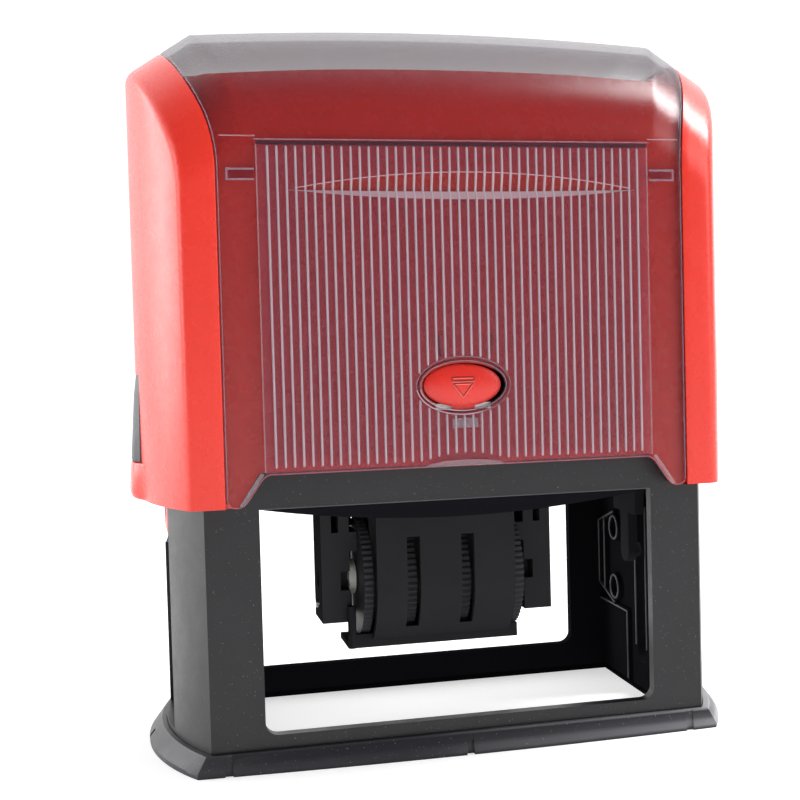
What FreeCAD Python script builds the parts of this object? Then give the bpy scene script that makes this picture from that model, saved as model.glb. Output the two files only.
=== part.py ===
"""Self-inking date stamp: a housing slides down over a base and flips the text plate and its dater.

Millimetres. X runs along the text plate, the front faces -Y, Z is up and the foot rests on Z = 0.
"""
import FreeCAD, Part
import math
import os
import Sketcher

Vector = FreeCAD.Vector

# Driving dimensions: alias, value and what it measures
SIZES = [
    ("plate_long", 75.0, "text plate along X"),
    ("plate_deep", 38.0, "text plate along Y"),
    ("plate_gap", 1.0, "text plate's end to the base's inner side"),
    ("base_front_width", 80.0, "base across its front corners"),
    ("base_side_bulge", 5.8, "how far the base's side bows out"),
    ("base_depth", 46.0, "base front to back"),
    ("base_wall", 2.0, "base front and back wall"),
    ("tray_headroom", 0.5, "ink cartridge's top to the deck"),
    ("deck_thick", 2.0, "base deck"),
    ("window_width", 63.4, "window between the legs"),
    ("window_low", 5.5, "window's lower edge"),
    ("window_corner", 2.0, "window's lower corner radius"),
    ("scoop_drop", 3.0, "how far the finger scoop hangs below the window's upper edge"),
    ("groove_width", 18.6, "outer groove of the base's side, along Y"),
    ("groove_wall", 4.9, "wall between the base's inner side and its groove"),
    ("groove_low", 4.2, "groove's lower end"),
    ("hole_near", 6.2, "side hole's near edge behind the middle"),
    ("hole_width", 7.0, "side hole along Y"),
    ("hole_drop", 6.9, "side hole's round bottom below the trunnion axis"),
    ("hole_rise", 1.5, "side hole's top above the trunnion axis"),
    ("rib_stand", 0.8, "cam rib above the inner side"),
    ("rib_width", 0.9, "cam rib across"),
    ("rib_near", 17.0, "near upright cam rib behind the middle"),
    ("rib_far", 20.2, "far upright cam rib behind the middle"),
    ("rib_half", 6.2, "cam ribs' half height"),
    ("hook_back", 12.2, "cam hook's centre behind the middle"),
    ("hook_rise", 5.6, "cam hook's centre above or below the middle"),
    ("hook_tall", 2.6, "cam hook's half height"),
    ("step_below", 24.9, "guide step's height below the trunnion axis"),
    ("step_back", 5.5, "guide step's front edge behind the middle"),
    ("step_stand", 0.6, "guide step above the inner side"),
    ("foot_corner_out", 2.2, "foot's corner beyond the base's, along X"),
    ("foot_corner_deep", 0.9, "foot's corner beyond the base's, along Y"),
    ("foot_side_out", 2.9, "foot's end beyond the base's side"),
    ("foot_front_out", 2.2, "foot's front beyond the base's front"),
    ("foot_lip", 0.8, "foot's upright lower edge"),
    ("foot_top", 3.4, "foot's height"),
    ("foot_ledge", 1.0, "ledge of the foot that the base stands on"),
    ("mark_width", 1.2, "alignment notch in the foot"),
    ("mark_deep", 0.9, "alignment notch's depth"),
    ("cap_side_gap", 1.3, "housing's inner side to the base's side"),
    ("cap_side_bulge", 7.0, "how far the housing's side bows out"),
    ("cap_above", 2.5, "housing's lower edge above the trunnion axis"),
    ("cap_deep_gap", 0.5, "housing's inner face to the base's front and back"),
    ("cap_below", 0.7, "window's upper edge below the housing's lower edge"),
    ("crown_tall", 21.0, "housing's rounded part above its straight front"),
    ("cap_straight", 55.0, "housing's straight front above its lower edge"),
    ("shoulder_radius", 16.0, "housing's front shoulder"),
    ("crown_rise", 1.3, "how far the crown arches from end to end"),
    ("crease_x", 38.5, "start of the crown's end slope"),
    ("slope_drop", 6.6, "drop of the crown's end slope"),
    ("cap_side_wall", 1.9, "housing's side wall"),
    ("cover_thick", 1.3, "clear cover"),
    ("cover_gap", 0.1, "clear cover to housing"),
    ("panel_thick", 1.4, "housing's wall behind the clear cover"),
    ("cheek_width", 5.3, "housing's cheek beside the clear cover"),
    ("roof_drop", 9.0, "housing's flat roof below the crown"),
    ("roof_thick", 1.8, "housing's flat roof"),
    ("skirt_lift", 4.8, "clear cover's raised lower edge above the housing's"),
    ("skirt_half_top", 30.9, "raised edge's half length"),
    ("skirt_half_low", 34.2, "half length where the raised edge meets the lower edge"),
    ("panel_lift", 0.3, "housing's raised front edge above the cover's"),
    ("panel_lift_back", 2.6, "housing's raised back edge above the cover's, clear of the turning dater"),
    ("rib_panel_drop", 0.6, "ribbed panel's upper edge below the rounded part"),
    ("rib_panel_half", 30.6, "ribbed panel's half length"),
    ("rib_count", 41, "ribs of the cover's panel"),
    ("panel_rib_stand", 0.25, "rib above the clear cover's front"),
    ("panel_rib_width", 0.55, "rib across"),
    ("bump_half", 6.2, "side bump's half width"),
    ("bump_slope", 3.0, "side bump's sloping part above its straight part"),
    ("bump_tall", 17.0, "side bump's straight part above the housing's lower edge"),
    ("bump_stand_top", 0.4, "side bump's upper face beyond the housing's side"),
    ("bump_stand_low", 1.6, "side bump's lower face beyond the housing's side"),
    ("grip_half", 5.0, "side grip's half width"),
    ("grip_rise", 6.0, "side grip's lower edge above the housing's"),
    ("grip_thick", 1.5, "side grip"),
    ("leg_half", 8.0, "housing leg's half width"),
    ("leg_thick", 1.3, "housing leg"),
    ("leg_reach", 3.4, "housing leg below the trunnion"),
    ("travel", 30.5, "how far the housing slides down"),
    ("axle_high", 38.5, "trunnion axis at rest"),
    ("trunnion_radius", 2.1, "trunnion"),
    ("slot_gap", 0.2, "trunnion to its slot in the base"),
    ("running_gap", 0.05, "radial clearance of a running fit"),
    ("seat_gap", 0.15, "clearance of a part in its seat"),
    ("slide_gap", 0.3, "clearance of a sliding part"),
    ("die_thick", 1.8, "rubber die"),
    ("text_plate_thick", 1.5, "text plate"),
    ("carrier_thick", 2.0, "carrier's plate"),
    ("carrier_short", 0.3, "carrier's end inside the text plate's end"),
    ("carrier_half_deep", 17.5, "carrier's half width"),
    ("carrier_window_deep", 5.2, "carrier's window, half width"),
    ("cheek_thick", 1.8, "carrier's end cheek"),
    ("cheek_half", 5.5, "carrier's end cheek's half width"),
    ("cheek_drop", 5.0, "end cheek below the trunnion axis"),
    ("cam_arm", 12.0, "cam pin from the trunnion axis"),
    ("cam_radius", 1.2, "cam pin"),
    ("cam_arm_half", 2.0, "cam arm's half width"),
    ("date_window_half", 12.6, "date window's half length"),
    ("date_window_deep", 4.0, "date window's half width"),
    ("bridge_window_half", 16.2, "bridge bar's slot in the text plate, half length"),
    ("pad_thick", 5.0, "ink pad"),
    ("pad_inset", 0.2, "ink pad's end inside the text plate's end"),
    ("pad_half_deep", 19.6, "ink pad's half width"),
    ("tray_thick", 2.0, "ink cartridge's plate"),
    ("tray_rim", 0.9, "ink cartridge's rim"),
    ("tray_rim_drop", 1.0, "ink cartridge's rim below its plate"),
    ("runner_stand", 0.85, "cartridge runner above the inner side"),
    ("runner_thick", 1.0, "cartridge runner"),
    ("tab_half", 14.0, "cartridge's finger tab's half length"),
    ("tab_thick", 1.2, "cartridge's finger tab"),
    ("tab_reach", 0.3, "finger tab beyond the base's front"),
    ("shaft_drop", 13.3, "wheel shaft below the trunnion axis"),
    ("shaft_radius", 1.5, "wheel shaft"),
    ("shaft_short", 0.8, "wheel shaft's end inside the end block's outer face"),
    ("wheel_radius", 10.0, "setting wheel"),
    ("wheel_width", 1.5, "setting wheel's rim"),
    ("knurl_count", 60, "teeth of a setting wheel"),
    ("knurl_deep", 0.35, "tooth depth"),
    ("knurl_half", 0.42, "tooth gap's half width at the rim"),
    ("pulley_radius", 6.2, "band pulley"),
    ("hub_radius", 2.6, "outer wheel's hub"),
    ("wheel_1_x", -12.9, "first setting wheel"),
    ("wheel_2_x", -5.6, "second setting wheel"),
    ("wheel_3_x", 3.6, "third setting wheel"),
    ("wheel_4_x", 12.9, "fourth setting wheel"),
    ("band_gap", 0.25, "side clearance of a band"),
    ("band_split_x", 8.35, "gap between the third and the fourth band"),
    ("band_thick", 1.0, "date band"),
    ("band_head_half", 3.3, "date band's half width under its head"),
    ("band_head_drop", 2.6, "date band's head's height"),
    ("band_lean", 13.0, "degrees that a band leans in from its pulley"),
    ("bridge_half", 2.0, "bridge bar's half width"),
    ("bridge_end_gap", 0.3, "bridge bar's end in its slot"),
    ("block_wide", 4.8, "end block along X"),
    ("block_gap", 1.55, "end block's inner face to the outer wheel"),
    ("block_half", 4.5, "end block's half depth"),
    ("block_under", 7.0, "end block's lower edge below the shaft"),
    ("block_over", 8.2, "end block's upper edge above the shaft"),
    ("nose_gap", 0.25, "end block's upper part to the outer wheel"),
    ("nose_over", 5.0, "underside of the block's upper part above the shaft"),
    ("hub_notch", 1.6, "notch in the end block that shows the shaft"),
    ("post_width", 1.8, "end block's posts, along X"),
    ("guard_gap", 0.5, "guard's inner face to the wheels"),
    ("guard_thick", 1.0, "wheel guard"),
    ("guard_turn", 62.0, "degrees that the guard turns round the wheels"),
    ("plate_gap_low", 0.3, "wheels to the guard's lower plate"),
    ("guard_left", -11.8, "guard's left edge"),
    ("guard_right", 11.7, "guard's right edge"),
    ("guard_back", 3.5, "guard's lower plate behind the middle"),
    ("lip_left", -15.9, "guard's lower lip's left end"),
    ("lip_right", 13.4, "guard's lower lip's right end"),
    ("lip_front", 5.6, "guard lip's front face before the middle"),
    ("lip_thick", 0.8, "guard's lip"),
    ("lip_high", 16.2, "guard lip's upper edge"),
    ("peg_radius", 0.7, "peg between guard and end block"),
    ("guard_slot", 2.2, "guard's slot for a wheel"),
    ("guard_slot_low", 17.6, "guard slot's bottom"),
    ("guard_slot_high", 33.0, "guard slot's top"),
    ("dowel_radius", 0.8, "steel dowel"),
    ("dowel_drop", 4.2, "steel dowel below the wheel shaft"),
    ("dowel_stand", 0.6, "steel dowel beyond its end block"),
    ("spring_x", 26.0, "return spring from the middle"),
    ("spring_radius", 4.6, "return spring, to the middle of its wire"),
    ("wire_radius", 0.55, "return spring's wire"),
    ("spring_turns", 8, "turns of the return spring"),
    ("spring_seat", 0.15, "return spring's ends to their seats"),
    ("spindle_radius", 3.2, "spring spindle on the deck"),
    ("spindle_high", 11.0, "spring spindle's height"),
    ("spring_collar_wall", 1.2, "collar round the spring on the housing's roof"),
    ("spring_collar_drop", 4.0, "collar's height"),
    ("button_above", 2.3, "lock button's centre above the deck"),
    ("button_half_x", 6.1, "lock button's half length"),
    ("button_half_z", 3.1, "lock button's half height"),
    ("button_rim", 1.0, "ring round the lock button in the cover"),
    ("button_clear", 0.4, "lock button's back before the base's front"),
    ("button_sunk", 0.3, "lock button's face behind the clear cover's"),
    ("button_stroke", 2.5, "lock button's travel"),
    ("notch_half", 7.6, "lock notch in the base, half length"),
    ("notch_depth", 1.6, "lock notch's floor below the deck's top"),
    ("notch_spare", 2.5, "lock notch along Y beyond the lock button's travel"),
    ("overrun", 1.0, "how far a cutter runs past what it cuts"),
]

doc = FreeCAD.newDocument("date_stamp")
sheet = doc.addObject("Spreadsheet::Sheet", "Sizes")


class Size:
    """A number together with the sheet expression that yields it."""

    def __init__(self, text, value):
        self.text = text
        self.value = float(value)

    def __add__(self, other):
        return join(self, "+", other, self.value + number(other))

    def __sub__(self, other):
        return join(self, "-", other, self.value - number(other))

    def __mul__(self, other):
        return join(self, "*", other, self.value * number(other))

    def __truediv__(self, other):
        return join(self, "/", other, self.value / number(other))

    def __neg__(self):
        return Size("(-1 * " + self.text + ")", -self.value)

    def __rmul__(self, other):
        return join(other, "*", self, self.value * number(other))

    def __float__(self):
        return self.value


def number(item):
    return item.value if isinstance(item, Size) else float(item)


def words(item):
    return item.text if isinstance(item, Size) else "(" + repr(float(item)) + ")"


def join(left, sign, right, value):
    return Size("(" + words(left) + " " + sign + " " + words(right) + ")", value)


def root(item):
    return Size("sqrt(" + item.text + ")", math.sqrt(item.value))


def sine(item):
    return Size("sin(" + item.text + " * 1 deg)", math.sin(math.radians(item.value)))


def cosine(item):
    return Size("cos(" + item.text + " * 1 deg)", math.cos(math.radians(item.value)))


class Table:
    """The driving dimensions, each under its alias."""


def fill_sheet():
    """Writes the dimensions to the sheet and returns them by alias."""
    table = Table()
    for row, (alias, value, note) in enumerate(SIZES, start=1):
        cell = "A" + str(row)
        sheet.set(cell, repr(value))
        sheet.setAlias(cell, alias)
        sheet.set("B" + str(row), note)
        setattr(table, alias, Size("Sizes." + alias, value))
    doc.recompute()
    return table


s = fill_sheet()
ZERO = Size("0", 0)


def bind(item, prop, size):
    """Ties one property to the sheet."""
    if isinstance(size, Size) and "Sizes." in size.text:
        item.setExpression(prop, size.text)


# Shapes that several sub-parts use

def block(name, x, y, z):
    """A box from its low and high values along each axis."""
    item = doc.addObject("Part::Box", name)
    for prop, axis, (low, high) in (("Length", "x", x), ("Width", "y", y), ("Height", "z", z)):
        setattr(item, prop, number(high) - number(low))
        bind(item, prop, high - low)
        bind(item, "Placement.Base." + axis, low)
    return item


TURNS = {
    "x": FreeCAD.Rotation(Vector(0, 1, 0), 90),
    "y": FreeCAD.Rotation(Vector(1, 0, 0), -90),
    "z": FreeCAD.Rotation(),
}


def rod(name, axis, start, radius, length):
    """A cylinder from its start point along an axis."""
    item = doc.addObject("Part::Cylinder", name)
    item.Placement = FreeCAD.Placement(Vector(*[number(p) for p in start]), TURNS[axis])
    for letter, place in zip("xyz", start):
        bind(item, "Placement.Base." + letter, place)
    item.Radius = number(radius)
    item.Height = number(length)
    bind(item, "Radius", radius)
    bind(item, "Height", length)
    return item


def combine(kind, name, shapes):
    item = doc.addObject(kind, name)
    item.Shapes = shapes
    return item


def fuse(name, *shapes):
    return combine("Part::MultiFuse", name, list(shapes))


def common(name, *shapes):
    return combine("Part::MultiCommon", name, list(shapes))


def cut(name, base, *tools):
    item = doc.addObject("Part::Cut", name)
    item.Base = base
    item.Tool = tools[0] if len(tools) == 1 else fuse(name + "_tools", *tools)
    return item


def mirrored(name, source):
    """The twin of a shape across the plane X = 0."""
    item = doc.addObject("Part::Mirroring", name)
    item.Source = source
    item.Normal = Vector(1, 0, 0)
    return item


def plane(body, role):
    return [item for item in body.Origin.OriginFeatures if item.Role == role][0]


def pin_point(sketch, geometry, end, u, v):
    """Holds one point of the sketch at its expressions."""
    for kind, value in (("DistanceX", u), ("DistanceY", v)):
        index = sketch.addConstraint(Sketcher.Constraint(kind, -1, 1, geometry, end, number(value)))
        bind(sketch, "Constraints[" + str(index) + "]", value)


def spans(outline):
    """Pairs each corner with the point through which the edge after it bows, if it does."""
    pairs = []
    for point in outline:
        if len(point) == 3:
            pairs[-1][1] = point
        else:
            pairs.append([point, None])
    return pairs


def flat(point):
    return Vector(number(point[0]), number(point[1]), 0)


def draw(sketch, outline):
    """Draws a closed outline: corners, and after a corner a third point where the edge bows."""
    pairs = spans(outline)
    ends = []
    for place, (corner, bow) in enumerate(pairs):
        start = flat(corner)
        end = flat(pairs[(place + 1) % len(pairs)][0])
        if bow is None:
            edge = sketch.addGeometry(Part.LineSegment(start, end), False)
            ends.append((edge, 1, 2))
        else:
            edge = sketch.addGeometry(Part.Arc(start, flat(bow), end), False)
            ends.append((edge,) + arc_ends(sketch, edge, start))
            spot = sketch.addGeometry(Part.Point(flat(bow)), True)
            sketch.addConstraint(Sketcher.Constraint("PointOnObject", spot, 1, edge))
            pin_point(sketch, spot, 1, bow[0], bow[1])
        pin_point(sketch, edge, ends[-1][1], corner[0], corner[1])
    for place, (edge, near, far) in enumerate(ends):
        following = ends[(place + 1) % len(ends)]
        sketch.addConstraint(Sketcher.Constraint("Coincident", edge, far, following[0], following[1]))


def arc_ends(sketch, edge, start):
    """An arc always runs counter-clockwise, so its start may be either end."""
    if sketch.getPoint(edge, 1).distanceToPoint(start) < sketch.getPoint(edge, 2).distanceToPoint(start):
        return (1, 2)
    return (2, 1)


def ring_sketch(sketch, u, v, radius):
    """Draws a circle."""
    circle = Part.Circle(Vector(number(u), number(v), 0), Vector(0, 0, 1), number(radius))
    edge = sketch.addGeometry(circle, False)
    pin_point(sketch, edge, 3, u, v)
    index = sketch.addConstraint(Sketcher.Constraint("Radius", edge, number(radius)))
    bind(sketch, "Constraints[" + str(index) + "]", radius)


def sketch_on(body, role, level):
    """An empty sketch on one of the body's own planes, moved along the plane's normal."""
    sketch = body.newObject("Sketcher::SketchObject", body.Name + "_sketch")
    sketch.AttachmentSupport = [(plane(body, role), "")]
    sketch.MapMode = "FlatFace"
    sketch.AttachmentOffset = FreeCAD.Placement(Vector(0, 0, number(level)), FreeCAD.Rotation())
    bind(sketch, "AttachmentOffset.Base.z", level)
    return sketch


ROLES = {"x": "YZ_Plane", "y": "XZ_Plane", "z": "XY_Plane"}


def levels(axis, low, high):
    """The XZ plane's normal points to -Y, so there the pad starts at the high value."""
    return (-high, high - low) if axis == "y" else (low, high - low)


def extrude(body, sketch, kind, length):
    """Pads or pockets a sketch."""
    feature = body.newObject(kind, body.Name + "_feature")
    feature.Profile = sketch
    feature.Reversed = kind == "PartDesign::Pocket"
    feature.Length = number(length)
    bind(feature, "Length", length)
    doc.recompute()
    return feature


def add_pad(body, axis, outlines, low, high):
    """Adds a prism along an axis from one or more closed outlines."""
    level, length = levels(axis, low, high)
    sketch = sketch_on(body, ROLES[axis], level)
    for outline in outlines:
        draw(sketch, outline)
    return extrude(body, sketch, "PartDesign::Pad", length)


def pad(name, axis, outlines, low, high):
    """A body that is one prism."""
    body = doc.addObject("PartDesign::Body", name)
    add_pad(body, axis, outlines, low, high)
    return body


def pocket(body, axis, outline, low, high):
    """Cuts a prism along an axis out of a body, and makes sure that it removed something."""
    before = body.Shape.Volume
    level, length = levels(axis, low, high)
    sketch = sketch_on(body, ROLES[axis], level)
    draw(sketch, outline)
    feature = extrude(body, sketch, "PartDesign::Pocket", length)
    if body.Shape.Volume >= before:
        raise ValueError(body.Name + ": a pocket cuts nothing")
    return feature


def rectangle(u_low, u_high, v_low, v_high):
    return [(u_low, v_low), (u_high, v_low), (u_high, v_high), (u_low, v_high)]


def round_edges(body, edges, radius):
    """Rounds the chosen edges of a body's last feature."""
    base = (body.Tip, edge_names(body.Shape, edges))
    feature = body.newObject("PartDesign::Fillet", body.Name + "_fillet")
    feature.Base = base
    feature.Radius = number(radius)
    bind(feature, "Radius", radius)
    doc.recompute()


def edge_names(shape, chosen):
    return ["Edge" + str(place) for place, edge in enumerate(shape.Edges, start=1) if chosen(edge)]


def side_reach(half_front, bulge, half_depth, y):
    """How far a bowed side stands from the middle at a depth y."""
    radius = (half_depth * half_depth + bulge * bulge) / (bulge * 2)
    return half_front + bulge - radius + root(radius * radius - y * y)


def bowed_outline(half_front, half_mid, half_depth):
    """A plan with straight front and back and bowed sides."""
    return [
        (-half_front, -half_depth), (half_front, -half_depth), (half_mid, ZERO, "bow"),
        (half_front, half_depth), (-half_front, half_depth), (-half_mid, ZERO, "bow"),
    ]


# Levels and reaches that follow from the driving dimensions

def derive(alias, size, note):
    """Adds a formula cell to the sheet, so that long expressions stay in one place."""
    derived.append(alias)
    row = str(len(SIZES) + len(derived))
    sheet.set("A" + row, "=" + size.text.replace("Sizes.", ""))
    sheet.setAlias("A" + row, alias)
    sheet.set("B" + row, note)
    setattr(s, alias, Size("Sizes." + alias, size.value))


derived = []
derive("cap_low", s.axle_high + s.cap_above, "housing's lower edge at rest")
derive("shoulder_low", s.cap_low + s.cap_straight, "where the housing's front starts to curve back")
derive("cap_top", s.shoulder_low + s.crown_tall, "housing's crown")
derive("roof_high", s.cap_top - s.roof_drop, "housing's flat roof under the clear cover")
derive("rib_panel_high", s.shoulder_low - s.rib_panel_drop, "ribbed panel's upper edge")
derive("inner_half", s.plate_long / 2 + s.plate_gap, "base's inner half length")
derive("base_half", s.base_front_width / 2, "base's half width at its corners")
derive("base_half_deep", s.base_depth / 2, "base's half depth")
derive("base_mid", s.base_half + s.base_side_bulge, "base's half width in the middle")
derive("inner_half_deep", s.base_half_deep - s.base_wall, "base's inner half depth")
derive("window_half", s.window_width / 2, "window's half width")
derive("groove_floor", s.inner_half + s.groove_wall, "groove floor from the middle")
derive("cap_mid", s.base_mid + s.cap_side_wall + s.cap_side_gap, "housing's half width in the middle")
derive("cap_half", s.cap_mid - s.cap_side_bulge, "housing's half width at its corners")
derive("panel_inset", s.cover_thick + s.cover_gap, "housing's wall behind the cover's face")
derive("cavity_inset", s.panel_inset + s.panel_thick, "housing's inner face behind the cover's face")
derive("cap_half_deep", s.base_half_deep + s.cap_deep_gap + s.cavity_inset, "housing's half depth")
derive("axle_low", s.axle_high - s.travel, "trunnion axis when pressed, so also the die's offset")
derive("die_high", s.axle_high + s.axle_low, "die's face at rest")
derive("plate_high", s.die_high - s.die_thick, "text plate's face")
derive("carrier_high", s.plate_high - s.text_plate_thick, "carrier's face")
derive("carrier_low", s.carrier_high - s.carrier_thick, "carrier's underside")
derive("tray_low", s.die_high + s.pad_thick, "ink cartridge's underside")
derive("tray_high", s.tray_low + s.tray_thick, "ink cartridge's top")
derive("deck_low", s.tray_high + s.tray_headroom, "deck's underside")
derive("base_top", s.deck_low + s.deck_thick, "deck's top")
derive("window_high", s.cap_low - s.cap_below, "window's upper edge at the front face")
derive("foot_corner_x", s.base_half + s.foot_corner_out, "foot's corner from the middle, along X")
derive("foot_corner_y", s.base_half_deep + s.foot_corner_deep, "foot's corner from the middle, along Y")
derive("foot_side", s.base_mid + s.foot_side_out, "foot's end from the middle")
derive("foot_front", s.base_half_deep + s.foot_front_out, "foot's front from the middle")
derive("skirt_high", s.cap_low + s.skirt_lift, "clear cover's raised lower edge")
derive("bump_reach_top", s.cap_mid + s.bump_stand_top, "side bump's upper face from the middle")
derive("bump_reach_low", s.cap_mid + s.bump_stand_low, "side bump's lower face from the middle")
derive("bump_shoulder", s.cap_low + s.bump_tall, "where the side bump's slope starts")
derive("bump_high", s.bump_shoulder + s.bump_slope, "side bump's top")
derive("grip_low", s.cap_low + s.grip_rise, "side grip's lower edge")
derive("grip_high", s.bump_shoulder + s.bump_slope / 2, "side grip's upper edge")
derive("button_high", s.base_top + s.button_above, "lock button's centre")
derive("button_back", s.base_half_deep + s.button_clear, "lock button's back from the middle")
derive("button_front", s.cap_half_deep - s.button_sunk, "lock button's face from the middle")
derive("notch_low", s.base_top - s.notch_depth, "lock notch's floor")
derive("hole_low", s.axle_high - s.hole_drop, "side hole's round bottom")
derive("hole_high", s.axle_high + s.hole_rise, "side hole's top")
derive("step_high", s.axle_high - s.step_below, "guide step's top")
derive("shaft_high", s.axle_high - s.shaft_drop, "wheel shaft's level")
derive("block_inner", s.wheel_4_x + s.wheel_width / 2 + s.block_gap, "end block's inner face")
derive("block_outer", s.block_inner + s.block_wide, "end block's outer face")
derive("block_nose", s.wheel_4_x + s.wheel_width / 2 + s.nose_gap, "inner end of the block's upper part")
derive("block_low", s.shaft_high - s.block_under, "end block's lower edge")
derive("block_high", s.shaft_high + s.block_over, "end block's upper edge")
derive("block_nose_low", s.shaft_high + s.nose_over, "underside of the block's upper part")
derive("shaft_half", s.block_outer - s.shaft_short, "wheel shaft's half length")
derive("bridge_reach", s.bridge_window_half - s.bridge_end_gap, "bridge bar's half length")
derive("guard_low", s.shaft_high - s.wheel_radius - s.plate_gap_low - s.guard_thick, "guard's lower face")
derive("carrier_half", s.plate_long / 2 - s.carrier_short, "carrier's half length")
derive("roof_low", s.roof_high - s.roof_thick, "underside of the housing's roof")
derive("cam_level", s.axle_high - s.travel / 2, "middle of the cam track")
derive("crown_run", s.cap_top - s.shoulder_low, "height of the rounded front")
derive("shoulder_y", s.cap_half_deep - s.shoulder_radius, "shoulder's centre from the middle")
derive(
    "crown_radius",
    (s.crown_run * s.crown_run + s.shoulder_y * s.shoulder_y - s.shoulder_radius * s.shoulder_radius)
    / ((s.crown_run - s.shoulder_radius) * 2),
    "crown's radius, tangent to the shoulders",
)
derive("crown_centre", s.cap_top - s.crown_radius, "crown's centre level")
derive("tangent_y_share", s.shoulder_y / (s.crown_radius - s.shoulder_radius), "direction to the shoulder")
derive(
    "tangent_z_share",
    (s.shoulder_low - s.crown_centre) / (s.crown_radius - s.shoulder_radius),
    "direction to the shoulder",
)
derive("bow_share", root((s.tangent_y_share + 1) / 2), "cosine of half the shoulder's turn")
derive("bow_rise_share", root((-s.tangent_y_share + 1) / 2), "sine of half the shoulder's turn")


# The base: frame, foot, ink cartridge and pad

def base_frame():
    """A tube with a window on each side, deck on top, bowed sides with a groove and a slot."""
    reach = s.base_half_deep + s.overrun
    outline = bowed_outline(s.base_half, s.base_mid, s.base_half_deep)
    body = pad("base_body", "z", [outline], s.foot_ledge, s.base_top)
    well = rectangle(-s.inner_half, s.inner_half, -s.inner_half_deep, s.inner_half_deep)
    pocket(body, "z", well, s.foot_ledge - s.overrun, s.deck_low)
    window = [
        (-s.window_half, s.window_low), (s.window_half, s.window_low), (s.window_half, s.window_high),
        (ZERO, s.window_high - s.scoop_drop, "bow"), (-s.window_half, s.window_high),
    ]
    pocket(body, "y", window, -reach, reach)
    round_edges(body, window_corners, s.window_corner)
    for sign in (-1, 1):
        pocket(body, "x", scoop(sign), -s.window_half, s.window_half)
    side_cuts(body)
    front_cuts(body)
    spindles = [
        rod("spindle", "z", (x, ZERO, s.deck_low), s.spindle_radius, s.spindle_high + s.deck_thick)
        for x in (-s.spring_x, s.spring_x)
    ]
    right = fuse("right_ribs", *side_ribs())
    whole = fuse("base_frame", body, right, mirrored("left_ribs", right), *spindles)
    return whole


def window_corners(edge):
    """The window's lower corners, which run along Y."""
    box = edge.BoundBox
    level = abs(box.ZMax - s.window_low.value) < s.seat_gap.value
    side = abs(abs(box.Center.x) - s.window_half.value) < s.seat_gap.value
    return level and side and box.ZLength < s.seat_gap.value and box.XLength < s.seat_gap.value


def scoop(sign):
    """The wedge that slopes the window's upper edge towards the inside."""
    slope = s.scoop_drop / s.base_wall
    outer = s.base_half_deep + s.overrun
    inner = s.inner_half_deep - s.overrun
    top = s.window_high + slope * s.overrun
    low = s.window_high - s.scoop_drop - slope * s.overrun
    return [(sign * outer, top), (sign * inner, low), (sign * outer, low)]


def side_cuts(body):
    """Groove, trunnion slot and round-bottomed hole in both sides."""
    far = s.base_mid + s.overrun
    half = s.groove_width / 2
    groove = rectangle(-half, half, s.groove_low, s.base_top + s.overrun)
    pocket(body, "x", groove, s.groove_floor, far)
    pocket(body, "x", groove, -far, -s.groove_floor)
    wide = s.trunnion_radius + s.slot_gap
    slot = [
        (wide, s.axle_low), (wide, s.axle_high), (ZERO, s.axle_high + wide, "bow"),
        (-wide, s.axle_high), (-wide, s.axle_low), (ZERO, s.axle_low - wide, "bow"),
    ]
    pocket(body, "x", slot, -far, far)
    near = s.hole_near
    bore = s.hole_width / 2
    hole = [
        (near, s.hole_low + bore), (near + bore, s.hole_low, "bow"), (near + s.hole_width, s.hole_low + bore),
        (near + s.hole_width, s.hole_high), (near, s.hole_high),
    ]
    pocket(body, "x", hole, -far, far)


def front_cuts(body):
    """The cartridge's slot through the front and the lock button's notch above it."""
    face = -s.base_half_deep - s.overrun
    slot = rectangle(-s.inner_half, s.inner_half, s.tray_low - s.tray_rim_drop - s.seat_gap,
                     s.tray_high + s.seat_gap)
    pocket(body, "y", slot, face, -s.inner_half_deep + s.overrun)
    notch = rectangle(-s.notch_half, s.notch_half, s.notch_low, s.base_top + s.overrun)
    pocket(body, "y", notch, face, -s.base_half_deep + s.button_stroke + s.notch_spare)


def side_ribs():
    """Cam ribs, guide step and cartridge runner on the right inner side."""
    wall = (s.inner_half - s.rib_stand, s.inner_half + s.overrun)
    low = s.cam_level - s.rib_half
    high = s.cam_level + s.rib_half
    ribs = [
        block("far_rib", wall, (s.rib_far, s.rib_far + s.rib_width), (low, high)),
        block("near_rib", wall, (s.rib_near, s.rib_near + s.rib_width),
              (low - s.rib_width, high + s.rib_width)),
        block("step_front", (s.inner_half - s.step_stand, wall[1]), (s.step_back, s.step_back + s.rib_width),
              (s.foot_ledge, s.step_high)),
        block("step_top", (s.inner_half - s.step_stand, wall[1]), (s.step_back, s.inner_half_deep),
              (s.step_high, s.step_high + s.rib_width)),
        block("runner", (s.inner_half - s.runner_stand, wall[1]), (-s.inner_half_deep, s.inner_half_deep),
              (s.tray_low - s.runner_thick - s.running_gap, s.tray_low - s.running_gap)),
    ]
    for sign in (-1, 1):
        ribs.append(hook_bar(wall, sign))
        ribs.append(hook_ring(wall, sign))
    return ribs


def hook_bar(wall, sign):
    """The slanted rib from the far upright to a hook."""
    end = s.cam_level + sign * s.rib_half
    tip = s.cam_level + sign * (s.hook_rise + s.hook_tall)
    outline = [
        (s.rib_far + s.rib_width, end), (s.hook_back, tip + sign * s.rib_width),
        (s.hook_back, tip), (s.rib_far, end - sign * s.rib_width),
    ]
    return pad("hook_bar", "x", [outline], wall[0], wall[1])


def hook_ring(wall, sign):
    """The hook itself, a ring."""
    centre = (wall[0], s.hook_back, s.cam_level + sign * s.hook_rise)
    length = wall[1] - wall[0]
    ring = rod("hook_outer", "x", centre, s.hook_tall, length)
    hollow = rod("hook_inner", "x", centre, s.hook_tall - s.rib_width, length)
    return cut("hook_ring", ring, hollow)


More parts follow.
